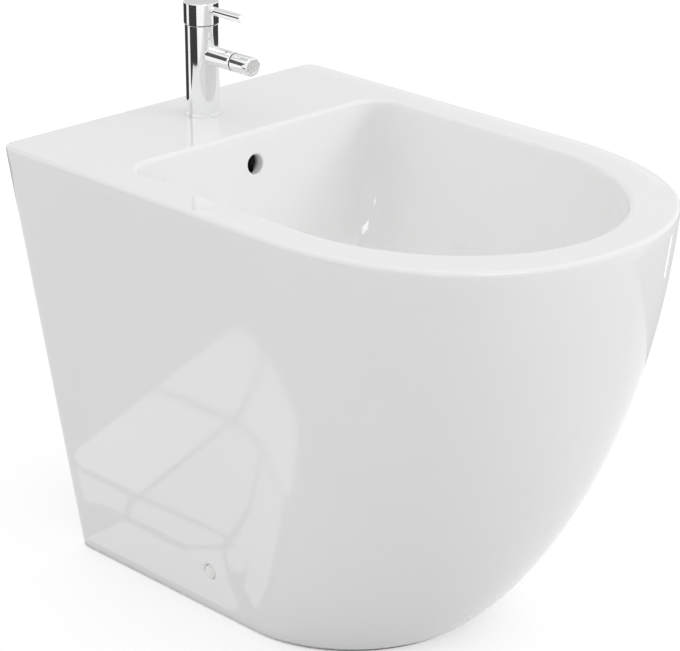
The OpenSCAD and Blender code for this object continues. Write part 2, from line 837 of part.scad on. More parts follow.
// The three ports that the housing's floor, its seals and the fixed disc share
module ports(r, z0, z1) {
    for (x = [-1, 1]) translate([x * port_x, port_y, 0]) disc(r, z0, z1);
    translate([0, outlet_y, 0]) disc(r, z0, z1);
}
module cartridge_housing() {
    color(grey_plastic) at_tap() difference() {
        disc(cart_r, cart_z, cart_top_z);
        disc(cart_bore_r, fixed_z, cart_lip_z);
        disc(cart_lip_r, fixed_z, cart_top_z + over);
        ports(port_r, cart_z - over, fixed_z + over);
        ports(port_r + 2 * seal_ring_r, cart_z - over, cart_z + seal_ring_r * 2);
    }
}
module cartridge_seals() {
    color(rubber) at_tap() difference() {
        ports(port_r + 2 * seal_ring_r - seat_gap, cart_z, cart_z + seal_ring_r * 2);
        ports(port_r, cart_z - over, fixed_z + over);
    }
}
module fixed_disc() {
    color(alumina) at_tap() difference() {
        disc(cart_bore_r - seat_gap, fixed_z, moving_z - disc_gap);
        ports(port_r, fixed_z - over, moving_z + over);
    }
}
module moving_disc() {
    color(alumina) at_tap() difference() {
        disc(disc_r, moving_z, carrier_z);
        translate([0, mix_y, 0]) disc(mix_r, moving_z - over, moving_z + disc_t / 2);
    }
}
module disc_carrier() {
    color(white_plastic) at_tap() difference() {
        union() {
            disc(disc_r, carrier_z, carrier_z + carrier_h);
            for (x = [-1, 1]) translate([x * tab_x, 0, carrier_z + carrier_h])
                block([-tab_w / 2, -tab_y, -over], [tab_w / 2, tab_y, tab_h]);
        }
        disc(tip_r + clear_gap, carrier_z + carrier_floor, carrier_z + carrier_h + over);
    }
}
module cartridge_rotor() {
    color(white_plastic) at_tap() difference() {
        union() {
            disc(rotor_r, rotor_z, cart_lip_z - clear_gap);
            disc(rotor_neck_r, rotor_z, rotor_top_z);
        }
        block([-rotor_slot_w / 2, -rotor_slot_front, rotor_z - over],
            [rotor_slot_w / 2, rotor_slot_back, rotor_top_z + over]);
        for (x = [-1, 1]) translate([x * tab_x, 0, 0])
            block([-tab_w / 2 - clear_gap, -tab_y - tip_travel - clear_gap, rotor_z - over],
                [tab_w / 2 + clear_gap, tab_y + clear_gap, rotor_z + tab_h]);
        translate([0, 0, pivot_z]) rotate([0, 90, 0]) disc(pin_r + pin_gap, -cart_r, cart_r);
    }
}
module pivot_pin() {
    end = rotor_r - pin_in;
    color(steel) at_tap() translate([0, 0, pivot_z]) rotate([0, 90, 0]) disc(pin_r, -end, end);
}
module spindle() {
    color(brass) at_tap() difference() {
        union() {
            disc(spindle_r, pivot_z, spindle_top_z);
            translate([0, 0, pivot_z]) rotate([0, 90, 0]) disc(spindle_r, -spindle_r, spindle_r);
            disc(tip_neck_r, tip_z, pivot_z - (pin_r + spindle_r) / 2);
            translate([0, 0, tip_z]) sphere(r = tip_r);
        }
        translate([0, 0, pivot_z]) rotate([0, 90, 0]) disc(pin_r + run_gap, -cart_r, cart_r);
    }
}
module cartridge_nut() {
    color(brass) at_tap() difference() {
        disc(nut_r, cart_top_z, nut_top_z);
        disc(nut_bore_r, cart_top_z - over, nut_top_z + over);
        block([-cart_d, -nut_slot / 2, nut_top_z - nut_slot / 2], [cart_d, nut_slot / 2, body_top]);
    }
}

// Cap: a hollow turned cap with a boss for the spindle
module handle_cap() {
    bore_r = cap_r - cap_wall;
    color(chrome) at_tap() difference() {
        union() {
            difference() {
                rotate_extrude() cap_profile();
                disc(bore_r, cap_z + cap_bevel_h, cap_top_z - cap_roof);
                cone(cap_r - cap_rim_t, bore_r, cap_z, cap_z + cap_bevel_h);
                disc(cap_r - cap_rim_t, cap_z - over, cap_z);
            }
            disc(boss_out_r, cap_boss_z, cap_top_z - cap_roof + over);
        }
        disc(spindle_r + seat_gap, cap_boss_z - over, spindle_top_z + slip_gap);
        translate([0, 0, lever_z]) rotate([90, 0, 0]) {
            disc(lever_stem_r + seat_gap, 0, bore_r);
            disc(lever_r + seat_gap, boss_out_r, cap_r + over);
        }
        translate([0, 0, screw_z]) rotate([-90, 0, 0]) {
            disc(grub_r + seat_gap, 0, bore_r);
            disc(index_r + seat_gap, bore_r - over, cap_r + over);
        }
    }
}
module cap_profile() {
    translate([0, cap_z]) square([cap_r, cap_top_z - cap_z - cap_edge]);
    translate([0, cap_z]) square([cap_r - cap_edge, cap_top_z - cap_z]);
    translate([cap_r - cap_edge, cap_top_z - cap_edge]) circle(r = cap_edge);
}
module handle_lever() {
    color(chrome) at_tap() translate([0, 0, lever_z]) rotate([90, 0, 0]) {
        disc(lever_stem_r, lever_stem_in, lever_seat);
        disc(lever_r, lever_seat, lever_reach - lever_bevel);
        cone(lever_r, lever_r - lever_bevel, lever_reach - lever_bevel, lever_reach);
    }
}
module handle_screw() {
    color(steel) at_tap() translate([0, 0, screw_z]) rotate([-90, 0, 0]) difference() {
        disc(grub_r, spindle_r + pin_gap, spindle_r + grub_len);
        hexagon(grub_key_r, spindle_r + grub_len - grub_key_h, spindle_r + grub_len + over);
    }
}
module index_plug() {
    color(grey_plastic) at_tap() translate([0, 0, screw_z]) rotate([-90, 0, 0]) {
        disc(index_r, cap_r - cap_wall - index_proud, cap_r);
        cone(index_r, index_r - index_proud, cap_r, cap_r + index_proud);
    }
}

// Nozzle: a hollow ball on a stem that swings in the spout's end
module nozzle_collar() {
    color(brass) at_spout() difference() {
        intersection() {
            disc(collar_r, ball_s - collar_back, tip_s);
            translate([0, 0, ball_s]) sphere(r = dome_r);
        }
        translate([0, 0, ball_s]) sphere(r = ball_r + ball_gap);
        disc(collar_mouth_r, ball_s, tip_s);
        cone(collar_mouth_r, mouth_out_r, ball_s + ball_r / 2, ball_s + dome_r);
    }
}
module nozzle_seal() {
    color(rubber) at_spout() difference() {
        intersection() {
            disc(collar_r, ball_s - seal_zone_back, ball_s - seal_zone_front);
            translate([0, 0, ball_s]) sphere(r = seal_out_r);
        }
        translate([0, 0, ball_s]) sphere(r = ball_r + ball_gap);
    }
}
module nozzle_ball() {
    color(brass) at_spout() difference() {
        union() {
            translate([0, 0, ball_s]) sphere(r = ball_r);
            disc(stem_r, ball_s, ball_s + stem_end);
        }
        disc(stem_bore_r, ball_s - ball_r - over, ball_s + stem_end + over);
    }
}
module nozzle_housing() {
    color(chrome) at_spout() difference() {
        union() {
            disc(spout_r, ball_s, tip_s - nozzle_edge);
            cone(spout_r, spout_r - nozzle_edge, tip_s - nozzle_edge, tip_s);
        }
        translate([0, 0, ball_s]) sphere(r = socket_r);
        disc(stem_r + pin_gap, ball_s, tip_s);
        disc(insert_r + seat_gap, tip_s - aerator_recess - aerator_len - aerator_seal_t, tip_s + over);
    }
}
module aerator_seal() {
    low = tip_s - aerator_recess - aerator_len - aerator_seal_t;
    color(rubber) at_spout() tube(insert_r, stem_r + slip_gap, low, low + aerator_seal_t);
}
module aerator_insert() {
    low = tip_s - aerator_recess - aerator_len;
    high = low + aerator_len;
    color(white_plastic) at_spout() difference() {
        disc(insert_r, low, high);
        disc(insert_r - insert_wall, low - over, low + aerator_len / 2);
        for (r = [groove_step, 2 * groove_step])
            tube(r + groove_w / 2, r - groove_w / 2, high - groove_h, high + over);
    }
}

// Waste: flange and slotted tail in one, with a bridge that carries the click stem
module waste_body() {
    color(chrome) at_waste() difference() {
        union() {
            difference() {
                union() {
                    disc(flange_r, flange_z, flange_top_z - flange_edge);
                    cone(flange_r, flange_r - flange_edge, flange_top_z - flange_edge, flange_top_z);
                    disc(tail_r, tail_end_z, flange_z + over);
                }
                disc(tail_bore_r, tail_end_z - over, flange_top_z + over);
                cone(tail_bore_r, funnel_r, funnel_z, flange_top_z);
                block([-slot_w / 2, -tail_r - over, slot_z], [slot_w / 2, tail_r + over, slot_z + slot_h]);
            }
            block([-bridge_end, -bridge_w / 2, bridge_z], [bridge_end, bridge_w / 2, bridge_z + bridge_h]);
            disc(hub_r, hub_z, click_z);
        }
        disc(click_stem_r + seat_gap, hub_z - over, click_z + over);
    }
}
module flange_gasket() {
    color(rubber) at_waste() tube(flange_r - gasket_in, waste_hole_r, flange_seat_z, flange_z);
}
module lower_gasket() {
    color(rubber) at_waste() tube(washer_r, tail_r + slip_gap, boss_z - lower_gasket_t, boss_z);
}
module waste_washer() {
    low = boss_z - lower_gasket_t - washer_t;
    color(white_plastic) at_waste() tube(washer_r, tail_r + slip_gap, low, low + washer_t);
}
module waste_backnut() {
    top = boss_z - lower_gasket_t - washer_t;
    color(brass) at_waste() difference() {
        union() {
            hexagon(backnut_r, top - backnut_h, top - backnut_face_h);
            disc(backnut_face_r, top - backnut_face_h, top);
        }
        disc(tail_r + seat_gap, top - backnut_h - over, top + over);
    }
}

// Plug: a domed cover with a chamfered edge, a neck, a hub for the seal and a stem
module plug_cover() {
    cover_top_z = plug_cover_z + plug_edge + plug_dome_h;
    globe_r = (pow(plug_r, 2) + pow(plug_dome_h, 2)) / (2 * plug_dome_h);
    color(chrome) at_waste() {
        disc(plug_stem_r, plug_stem_z, plug_seal_z + over);
        disc(plug_hub_r, plug_seal_z, plug_seal_z + plug_seal_h);
        disc(plug_neck_r, plug_seal_z + plug_seal_h, plug_cover_z);
        intersection() {
            union() {
                cone(plug_r - plug_edge / 2, plug_r, plug_cover_z, plug_cover_z + plug_edge / 2);
                disc(plug_r, plug_cover_z + plug_edge / 2, cover_top_z + over);
            }
            translate([0, 0, cover_top_z - globe_r]) sphere(r = globe_r, $fn = globe_fn);
        }
    }
}
module plug_seal() {
    slope = (funnel_r - tail_bore_r) / (flange_top_z - funnel_z);
    low_r = tail_bore_r + (plug_seal_z - funnel_z) * slope - plug_seal_gap;
    color(rubber) at_waste() difference() {
        cone(low_r, low_r + plug_seal_h * slope, plug_seal_z, plug_seal_z + plug_seal_h);
        disc(plug_hub_r, plug_seal_z - over, plug_cover_z);
    }
}
module click_housing() {
    color(brass) at_waste() difference() {
        union() {
            disc(click_stem_r, hub_z + over, click_z + over);
            disc(click_r, click_z, click_z + click_h);
        }
        disc(click_bore_r, click_spring_z, click_z + click_h + over);
    }
}

// Spring: one wire wound round the axis, its ends closed
module click_spring() {
    mean_r = click_bore_r - spring_wire_r - clear_gap;
    sides = 6;
    steps = 14;
    rings = [for (i = [0:spring_turns * steps])
        let (a = 360 * i / steps, z = click_spring_z + spring_wire_r + spring_pitch * i / steps)
        [for (j = [0:sides - 1])
            let (b = 360 * j / sides, r = mean_r + spring_wire_r * cos(b))
            [r * cos(a), r * sin(a), z + spring_wire_r * sin(b)]]];
    last = len(rings) - 1;
    points = [for (ring = rings) for (q = ring) q];
    sheath = [for (i = [0:last - 1]) for (j = [0:sides - 1])
        let (a = i * sides + j, b = i * sides + (j + 1) % sides, c = a + sides, d = b + sides)
        for (f = [[a, b, d], [a, d, c]]) f];
    ends = [[for (j = [sides - 1:-1:0]) j], [for (j = [0:sides - 1]) last * sides + j]];
    color(steel) at_waste() polyhedron(points = points, faces = concat(sheath, ends), convexity = 6);
}

// Trap: union nut, inlet with dip tube, upper body with a side branch, and cup
module trap_union_nut() {
    color(white_plastic) at_waste() difference() {
        disc(union_r, union_z, union_z + union_h);
        disc(tail_r + seat_gap, union_z + union_lip, union_z + union_h + over);
        disc(pipe_r + clear_gap, union_z - over, union_z + union_h);
        flutes(nut_flutes, union_r, union_z - over, union_z + union_grip);
    }
}
module trap_inlet_washer() {
    color(rubber) at_waste() tube(tail_r - slip_gap, pipe_bore_r, inlet_top_z, tail_end_z);
}
module trap_body() {
    color(white_plastic) difference() {
        union() {
            at_waste() {
                disc(tail_r - slip_gap, inlet_top_z - inlet_flange_t, inlet_top_z);
                disc(pipe_r, trap_top_z - over, inlet_top_z);
                difference() {
                    disc(trap_r, trap_low_z, trap_top_z);
                    disc(trap_r - trap_wall, trap_low_z - over, trap_top_z - trap_wall);
                }
                disc(pipe_r, cup_low_z + cup_floor + dip_gap, trap_top_z);
            }
            at_outlet() difference() {
                disc(branch_r, trap_r - trap_wall, branch_len);
                disc(branch_bore_r, trap_r - trap_wall - over, branch_len + over);
            }
        }
        at_waste() disc(pipe_bore_r, cup_low_z, inlet_top_z + over);
        at_outlet() disc(branch_bore_r, (trap_r + pipe_r) / 2, branch_len + over);
    }
}
module trap_cup_seal() {
    color(rubber) at_waste() tube(trap_r - slip_gap, cup_r + slip_gap, trap_low_z - cup_seal_t, trap_low_z);
}
module trap_cup() {
    grip_z = trap_low_z - cup_seal_t;
    color(white_plastic) at_waste() difference() {
        union() {
            disc(cup_r, cup_low_z + cup_edge, cup_top_z);
            cone(cup_r - cup_edge, cup_r, cup_low_z, cup_low_z + cup_edge);
            disc(grip_r, grip_z - grip_h, grip_z);
        }
        disc(cup_r - trap_wall, cup_low_z + cup_floor, cup_top_z + over);
        flutes(grip_flutes, grip_r, grip_z - grip_h - over, grip_z + over);
    }
}
module outlet_seal() {
    color(rubber) at_outlet() difference() {
        cone(branch_r - clear_gap, pipe_r + outlet_seal_t, branch_len, branch_len + outlet_seal_len);
        disc(pipe_r + 2 * seat_gap, branch_len - over, branch_len + outlet_seal_len + over);
    }
}
module outlet_nut() {
    start = branch_len + outlet_seal_len + outlet_lip - outlet_nut_len;
    cone_end_r = pipe_r + outlet_seal_t + clear_gap;
    color(white_plastic) at_outlet() difference() {
        disc(outlet_nut_r, start, start + outlet_nut_len);
        disc(branch_r + seat_gap, start - over, branch_len + over);
        cone(branch_r + seat_gap, cone_end_r, branch_len, branch_len + outlet_seal_len);
        disc(pipe_r + clear_gap, branch_len, start + outlet_nut_len + over);
        flutes(nut_flutes, outlet_nut_r, start - over, start + outlet_nut_len - outlet_lip);
    }
}
module waste_pipe() {
    color(white_plastic) at_outlet() difference() {
        union() {
            disc(pipe_r, pipe_start, waste_from_wall);
            disc(pipe_r + bead_h, bead_end - bead_w, bead_end);
        }
        disc(pipe_bore_r, pipe_start - over, waste_from_wall + over);
    }
}

// Floor brackets with their screws, sleeves and caps, one of each on either side
module floor_brackets() {
    low_y = side_y - bracket_w / 2;
    high_y = side_y + bracket_w / 2;
    color(steel) for (side = [0, 1]) mirror([side, 0, 0]) difference() {
        union() {
            block([bracket_x - bracket_foot, low_y, 0], [bracket_x, high_y, bracket_t]);
            block([bracket_x - bracket_t, low_y, 0], [bracket_x, high_y, bracket_h]);
        }
        translate([floor_hole_x, side_y, 0]) disc(floor_hole_d / 2, -over, bracket_t + over);
        translate([floor_hole_x, side_y, side_h]) rotate([0, 90, 0])
            disc(screw_r + slip_gap, 0, bracket_foot);
    }
}
module bracket_nuts() {
    color(steel) at_sides() difference() {
        hexagon(bracket_nut_r, bracket_x - bracket_t - bracket_nut_h, bracket_x - bracket_t);
        disc(screw_r + seat_gap, bracket_x - bracket_t - bracket_nut_h - over, bracket_x);
    }
}
module side_sleeves() {
    color(white_plastic) at_sides() difference() {
        union() {
            disc(side_hole_d / 2 - 2 * seat_gap, bracket_x, recess_x + sleeve_lip);
            disc(cap_rad, recess_x, recess_x + sleeve_lip);
        }
        disc(screw_r + slip_gap, bracket_x - over, recess_x + sleeve_lip + over);
    }
}
module side_screws() {
    head_x = recess_x + sleeve_lip;
    color(steel) at_sides() difference() {
        union() {
            disc(screw_r, bracket_x - bracket_t - bracket_nut_h - screw_out, head_x + head_h / 2);
            disc(head_r, head_x, head_x + head_h);
        }
        hexagon(screw_key_r, head_x + head_h - screw_key_h, head_x + head_h + over);
    }
}
module side_caps() {
    low = recess_x + sleeve_lip;
    color(white_plastic) at_sides() difference() {
        disc(cap_rad, low, low + head_h + side_cap_t);
        disc(head_r + 2 * seat_gap, low - over, low + head_h);
    }
}

ceramic_pedestal();
ceramic_bowl();
ceramic_duct();
ceramic_deck();
tap_body();
tap_base_ring();
tap_base_seal();
fixing_stud();
horseshoe_gasket();
horseshoe_plate();
stud_nut();
cartridge_housing();
cartridge_seals();
fixed_disc();
moving_disc();
disc_carrier();
cartridge_rotor();
pivot_pin();
spindle();
cartridge_nut();
handle_cap();
handle_lever();
handle_screw();
index_plug();
nozzle_collar();
nozzle_seal();
nozzle_ball();
nozzle_housing();
aerator_seal();
aerator_insert();
waste_body();
flange_gasket();
lower_gasket();
waste_washer();
waste_backnut();
plug_cover();
plug_seal();
click_housing();
click_spring();
trap_union_nut();
trap_inlet_washer();
trap_body();
trap_cup_seal();
trap_cup();
outlet_seal();
outlet_nut();
waste_pipe();
floor_brackets();
bracket_nuts();
side_sleeves();
side_screws();
side_caps();
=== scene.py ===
import json
import math

import bmesh
import bpy
import numpy as np
from mathutils import Matrix, Vector


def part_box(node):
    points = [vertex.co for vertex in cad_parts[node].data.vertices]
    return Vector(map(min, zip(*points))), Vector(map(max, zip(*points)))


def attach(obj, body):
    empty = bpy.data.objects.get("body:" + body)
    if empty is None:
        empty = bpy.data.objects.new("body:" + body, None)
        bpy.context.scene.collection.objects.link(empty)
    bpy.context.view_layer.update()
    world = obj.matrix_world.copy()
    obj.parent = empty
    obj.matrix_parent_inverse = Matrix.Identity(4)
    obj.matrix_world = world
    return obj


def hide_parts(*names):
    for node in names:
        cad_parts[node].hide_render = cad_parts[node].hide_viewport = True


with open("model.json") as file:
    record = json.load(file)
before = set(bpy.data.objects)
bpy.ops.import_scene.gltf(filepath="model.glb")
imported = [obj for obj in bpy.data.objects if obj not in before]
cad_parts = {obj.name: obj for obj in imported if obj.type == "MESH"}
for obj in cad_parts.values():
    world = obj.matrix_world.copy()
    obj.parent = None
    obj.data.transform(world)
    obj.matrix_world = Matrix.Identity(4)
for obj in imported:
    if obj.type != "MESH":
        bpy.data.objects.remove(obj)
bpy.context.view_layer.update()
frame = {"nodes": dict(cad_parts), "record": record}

NODES = frame["nodes"]

# ---------------------------------------------------------------- sizes, in metres
CHINA_LOW, CHINA_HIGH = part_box("ceramic_deck")
BODY_W = CHINA_HIGH.x - CHINA_LOW.x
BODY_D = CHINA_HIGH.y - CHINA_LOW.y
BODY_H = CHINA_HIGH.z
WALL_Y = CHINA_HIGH.y
BASE_W, BASE_D = 0.229, 0.355
RIM_CURVE, BASE_CURVE, CURVE_RISE = 0.218, 0.113, 1.19
RIM_POWER, BASE_POWER = 2.23, 1.97
FRONT_LEAN, BELLY_TOP, BELLY_FOOT = 0.026, 2.09, 1.23
CORNER_R, RIM_R, FOOT_R = 0.014, 0.004, 0.002
WALL_T, DECK_T = 0.012, 0.016
RIM_SIDE, RIM_FRONT, DECK_D = 0.035, 0.035, 0.123
BOWL_CURVE, BOWL_POWER, BOWL_CORNER_R = 0.166, 1.95, 0.027
BOWL_DEPTH, BOWL_FALL, BOWL_STEEP, BOWL_T = 0.150, 0.012, 5.0, 0.010
PLUG_RING_R, BOSS_R, BOSS_T = 0.015, 0.040, 0.026
FLOOR_Z = BODY_H - BOWL_DEPTH
BOSS_Z = FLOOR_Z - BOSS_T
BOWL_HW = BODY_W / 2 - RIM_SIDE
BOWL_BACK = WALL_Y - DECK_D
BOWL_FRONT = RIM_FRONT - WALL_Y
WASTE_FROM_WALL, TAP_FROM_WALL, SIDE_FROM_WALL = 0.230, 0.056, 0.1925
WASTE_Y = WALL_Y - WASTE_FROM_WALL
WASTE_HOLE_R, FLANGE_R, RECESS_GAP, FLANGE_SEAT = 0.023, 0.0315, 0.0015, 0.003
TAP_Y = WALL_Y - TAP_FROM_WALL
TAP_HOLE_R = 0.014
OVERFLOW_R, OVERFLOW_DROP, OVERFLOW_TILT = 0.00875, 0.0305, 0.10
OVERFLOW_Z = BODY_H - OVERFLOW_DROP
DUCT_R, DUCT_WALL = 0.007, 0.006
DUCT_Y = BOWL_BACK + DUCT_WALL + DUCT_R
DUCT_DROP, DUCT_BEND_RISE, DUCT_IN = 0.015, 0.027, 0.002
DUCT_FOOT_Z = FLOOR_Z - DUCT_DROP
DUCT_BEND_Z = DUCT_FOOT_Z + DUCT_BEND_RISE
SIDE_Y, SIDE_Z = WALL_Y - SIDE_FROM_WALL, 0.043
SIDE_HOLE_R, SIDE_RECESS_R, SIDE_RECESS, SIDE_THROUGH = 0.005, 0.0068, 0.006, 0.002
# Share of the side wall's slope that the cap's recess leans by
CAP_LEAN = 0.2
ARCH_W, ARCH_H, ARCH_R = 0.140, 0.330, 0.030
LIP_R, CAP_LIP_R = 0.0012, 0.0016
# Where the painted shade in the overflow duct, behind the bowl's back wall, starts and becomes full, and its
# near-black colour, which stands in for the shade inside the hole
DUCT_SHADE_FROM, DUCT_SHADE_TO = 0.0055, 0.0105
DUCT_SHADE = (0.045, 0.044, 0.042)
# Overrun of cutters, and the radius that stands for the axis in a turned solid
OVER, AXIS_R = 0.001, 0.0001


# ---------------------------------------------------------------- small helpers
def lerp(a, b, t):
    return a + (b - a) * t


def new_object(name, mesh):
    obj = bpy.data.objects.new(name, mesh)
    bpy.context.scene.collection.objects.link(obj)
    return obj


def mesh_object(name, verts, faces, smooth_deg=30.0):
    mesh = bpy.data.meshes.new(name)
    mesh.from_pydata([tuple(v) for v in verts], [], faces)
    mesh.update()
    obj = new_object(name, mesh)
    smooth(obj, smooth_deg)
    return obj


def smooth(obj, degrees=30.0):
    obj.data.shade_smooth()
    obj.data.set_sharp_from_angle(angle=math.radians(degrees))


def lathe(name, profile, sides=96, axis_at=(0, 0, 0), turn=None, closed=True):
    """A solid turned about Z from (radius, height) points that start and end on the axis or close up."""
    verts, faces = [], []
    n = len(profile)
    for r, z in profile:
        for i in range(sides):
            a = 2 * math.pi * i / sides
            verts.append(Vector((r * math.cos(a), r * math.sin(a), z)))
    rows = n if closed else n - 1
    for j in range(rows):
        for i in range(sides):
            k = (i + 1) % sides
            m = (j + 1) % n
            faces.append((j * sides + i, j * sides + k, m * sides + k, m * sides + i))
    if not closed:
        faces.append(tuple(reversed(range(sides))))
        faces.append(tuple((n - 1) * sides + i for i in range(sides)))
    mat = Matrix.Translation(Vector(axis_at))
    if turn is not None:
        mat = mat @ turn
    verts = [mat @ v for v in verts]
    return mesh_object(name, verts, faces)


def facing(direction):
    """The turn that takes +Z to a direction."""
    return Vector((0, 0, 1)).rotation_difference(Vector(direction)).to_matrix().to_4x4()


def rod(name, r, start, end, sides=64):
    a, b = Vector(start), Vector(end)
    return lathe(name, [(r, 0), (r, (b - a).length)], sides, a, facing(b - a), closed=False)


def combine(target, tools, operation):
    """Cuts or joins other solids with the target, and deletes them."""
    for tool in tools:
        mod = target.modifiers.new(tool.name, "BOOLEAN")
        mod.operation = operation
        mod.solver = "MANIFOLD"
        mod.object = tool
    bpy.context.view_layer.update()
    evaluated = target.evaluated_get(bpy.context.evaluated_depsgraph_get())
    mesh = bpy.data.meshes.new_from_object(evaluated)
    target.modifiers.clear()
    target.data = mesh
    for tool in tools:
        bpy.data.objects.remove(tool)


# ---------------------------------------------------------------- the china's form
CORNER_STEPS, SIDE_STEPS, FRONT_STEPS = 8, 20, 44
WALL_STEPS, ROUND_STEPS, BOWL_STEPS, INNER_STEPS = 44, 6, 40, 16
CASING_STEPS, CASING_DEG, ARCH_STEPS, LIP_STEPS = 19, 80, 12, 6
# The bowl's rings end short of its axis; the powers crowd the rings where the form bends most
BOWL_END_DEG, BOWL_CROWD, WALL_CROWD, INNER_CROWD = 87.5, 0.85, 1.15, 1.2
FLAT_EDGE = 0.0015


def half_w(s):
    return lerp(BASE_W, BODY_W, s) / 2


def front_y(s):
    belly = (1 - (1 - s) ** BELLY_TOP) ** (1 / BELLY_FOOT)
    return WALL_Y - BASE_D - FRONT_LEAN * s - (BODY_D - BASE_D - FRONT_LEAN) * belly


def half_plan(hw, back, front, nose, power, r):
    pts = [(0.0, back), ((hw - r) / 2, back)]
    for i in range(CORNER_STEPS + 1):
        a = math.pi / 2 * i / CORNER_STEPS
        pts.append((hw - r + r * math.sin(a), back - r + r * math.cos(a)))
    for i in range(1, SIDE_STEPS + 1):
        pts.append((hw, lerp(back - r, front + nose, i / SIDE_STEPS)))
    for i in range(1, FRONT_STEPS + 1):
        a = math.pi / 2 * i / FRONT_STEPS
        x = hw * max(math.cos(a), 0.0) ** (2 / power)
        pts.append((x, front + nose * (1 - math.sin(a) ** (2 / power))))
    pts[-1] = (0.0, front)
    return pts


def mirrored(half):
    return half + [(-x, y) for x, y in reversed(half[1:-1])]


def at_height(plan, z):
    return [(x, y, z) for x, y in plan]


def shell_ring(z, inset):
    s = min(1.0, z / (BODY_H - RIM_R))
    nose = lerp(BASE_CURVE, RIM_CURVE, s ** CURVE_RISE) - inset
    power = lerp(BASE_POWER, RIM_POWER, s)
    half = half_plan(half_w(s) - inset, WALL_Y - inset, front_y(s) + inset, nose, power,
                     max(CORNER_R - inset, OVER))
    return at_height(mirrored(half), z)


def bowl_plan(grow):
    return mirrored(half_plan(BOWL_HW + grow, BOWL_BACK + grow, BOWL_FRONT - grow, BOWL_CURVE + grow,
                              BOWL_POWER, BOWL_CORNER_R + grow))


def drawn_in(plan, r, u):
    out = []
    for x, y in plan:
        dy = y - WASTE_Y
        d = math.hypot(x, dy)
        k = (r + (d - r) * u) / d
        out.append((x * k, WASTE_Y + dy * k))
    return out


def bowl_u(a):
    return math.cos(a) ** (2 / BOWL_STEEP)


def bowl_z(a, top, low):
    return top - (top - low - BOWL_FALL) * math.sin(a) - BOWL_FALL * (1 - bowl_u(a))


def bowl_ring(a):
    return at_height(drawn_in(bowl_plan(0), PLUG_RING_R, bowl_u(a)), bowl_z(a, BODY_H - RIM_R, FLOOR_Z))


def under_ring(a):
    low = FLOOR_Z - BOWL_T
    return at_height(drawn_in(bowl_plan(BOWL_T), BOSS_R, bowl_u(a)), bowl_z(a, BODY_H - DECK_T, low))


def china_rings():
    quarter = [math.pi / 2 * i / ROUND_STEPS for i in range(ROUND_STEPS + 1)]
    bowl = [math.radians(BOWL_END_DEG) * (i / BOWL_STEPS) ** BOWL_CROWD for i in range(1, BOWL_STEPS + 1)]
    rings = [shell_ring(0, FOOT_R + FLAT_EDGE)]
    rings += [shell_ring(FOOT_R * (1 - math.sin(a)), FOOT_R * (1 - math.cos(a))) for a in quarter]
    rings += [shell_ring(FOOT_R + (BODY_H - RIM_R - FOOT_R) * (i / WALL_STEPS) ** WALL_CROWD, 0)
              for i in range(1, WALL_STEPS + 1)]
    rings += [shell_ring(BODY_H - RIM_R * (1 - math.sin(a)), RIM_R * (1 - math.cos(a))) for a in quarter[1:]]
    rings += [shell_ring(BODY_H, RIM_R + FLAT_EDGE)]
    rings += [at_height(bowl_plan(RIM_R + FLAT_EDGE), BODY_H)]
    rings += [at_height(bowl_plan(RIM_R * (1 - math.sin(a))), BODY_H - RIM_R * (1 - math.cos(a)))
              for a in quarter]
    rings += [bowl_ring(a) for a in bowl]
    rings += [at_height(drawn_in(bowl_plan(0), PLUG_RING_R, 0), z) for z in (FLOOR_Z, BOSS_Z)]
    rings += [at_height(drawn_in(bowl_plan(0), BOSS_R, 0), BOSS_Z)]
    rings += [at_height(drawn_in(bowl_plan(BOWL_T), BOSS_R, 0), FLOOR_Z - BOWL_T)]
    rings += [under_ring(a) for a in reversed(bowl[::3])]
    rings += [under_ring(0)]
    rings += [shell_ring((BODY_H - DECK_T) * (i / INNER_STEPS) ** INNER_CROWD, WALL_T)
              for i in reversed(range(INNER_STEPS + 1))]
    return rings


def outward(obj):
    """Turns every face of a closed solid outwards."""
    bm = bmesh.new()
    bm.from_mesh(obj.data)
    bmesh.ops.recalc_face_normals(bm, faces=bm.faces)
    bm.to_mesh(obj.data)
    bm.free()
    return obj


def ring_skin(name, rings):
    n, m = len(rings[0]), len(rings)
    verts = [q for ring in rings for q in ring]
    faces = []
    for j in range(m):
        low, high = j * n, (j + 1) % m * n
        for i in range(n):
            k = (i + 1) % n
            faces.append((low + i, low + k, high + k, high + i))
    return mesh_object(name, verts, faces)


def duct_casing():
    back = BOWL_BACK - WASTE_Y
    side = DUCT_R + DUCT_WALL
    outline = []
    for i in range(CASING_STEPS + 1):
        a = math.radians(CASING_DEG) * i / CASING_STEPS
        u = bowl_u(a)
        y = WASTE_Y + (lerp(PLUG_RING_R, back, u) + lerp(BOSS_R, back + BOWL_T, u)) / 2
        z = (bowl_z(a, BODY_H - RIM_R, FLOOR_Z) + bowl_z(a, BODY_H - DECK_T, FLOOR_Z - BOWL_T)) / 2
        outline.append((y, z))
    outline += [(WASTE_Y + BOSS_R - DUCT_WALL / 2, BOSS_Z), (DUCT_Y + side, DUCT_BEND_Z - side),
                (DUCT_Y + side, BODY_H - DECK_T / 2)]
    n = len(outline)
    verts = [(x, y, z) for x in (-side, side) for y, z in outline]
    faces = [tuple(range(n)), tuple(reversed(range(n, 2 * n)))]
    faces += [(i, n + i, n + (i + 1) % n, (i + 1) % n) for i in range(n)]
    obj = mesh_object("duct_casing", verts, faces)
    return outward(obj)


def flared_hole(name, r, lip, depth, at, direction, sides=96):
    """A cutter for a hole whose edge is rounded where it leaves the surface at a point."""
    profile = [(r, -depth)]
    for i in range(LIP_STEPS + 1):
        a = math.pi / 2 * i / LIP_STEPS
        profile.append((r + lip * (1 - math.cos(a)), -lip + lip * math.sin(a)))
    profile.append((r + 2 * lip, lip))
    return lathe(name, profile, sides, at, facing(direction), closed=False)


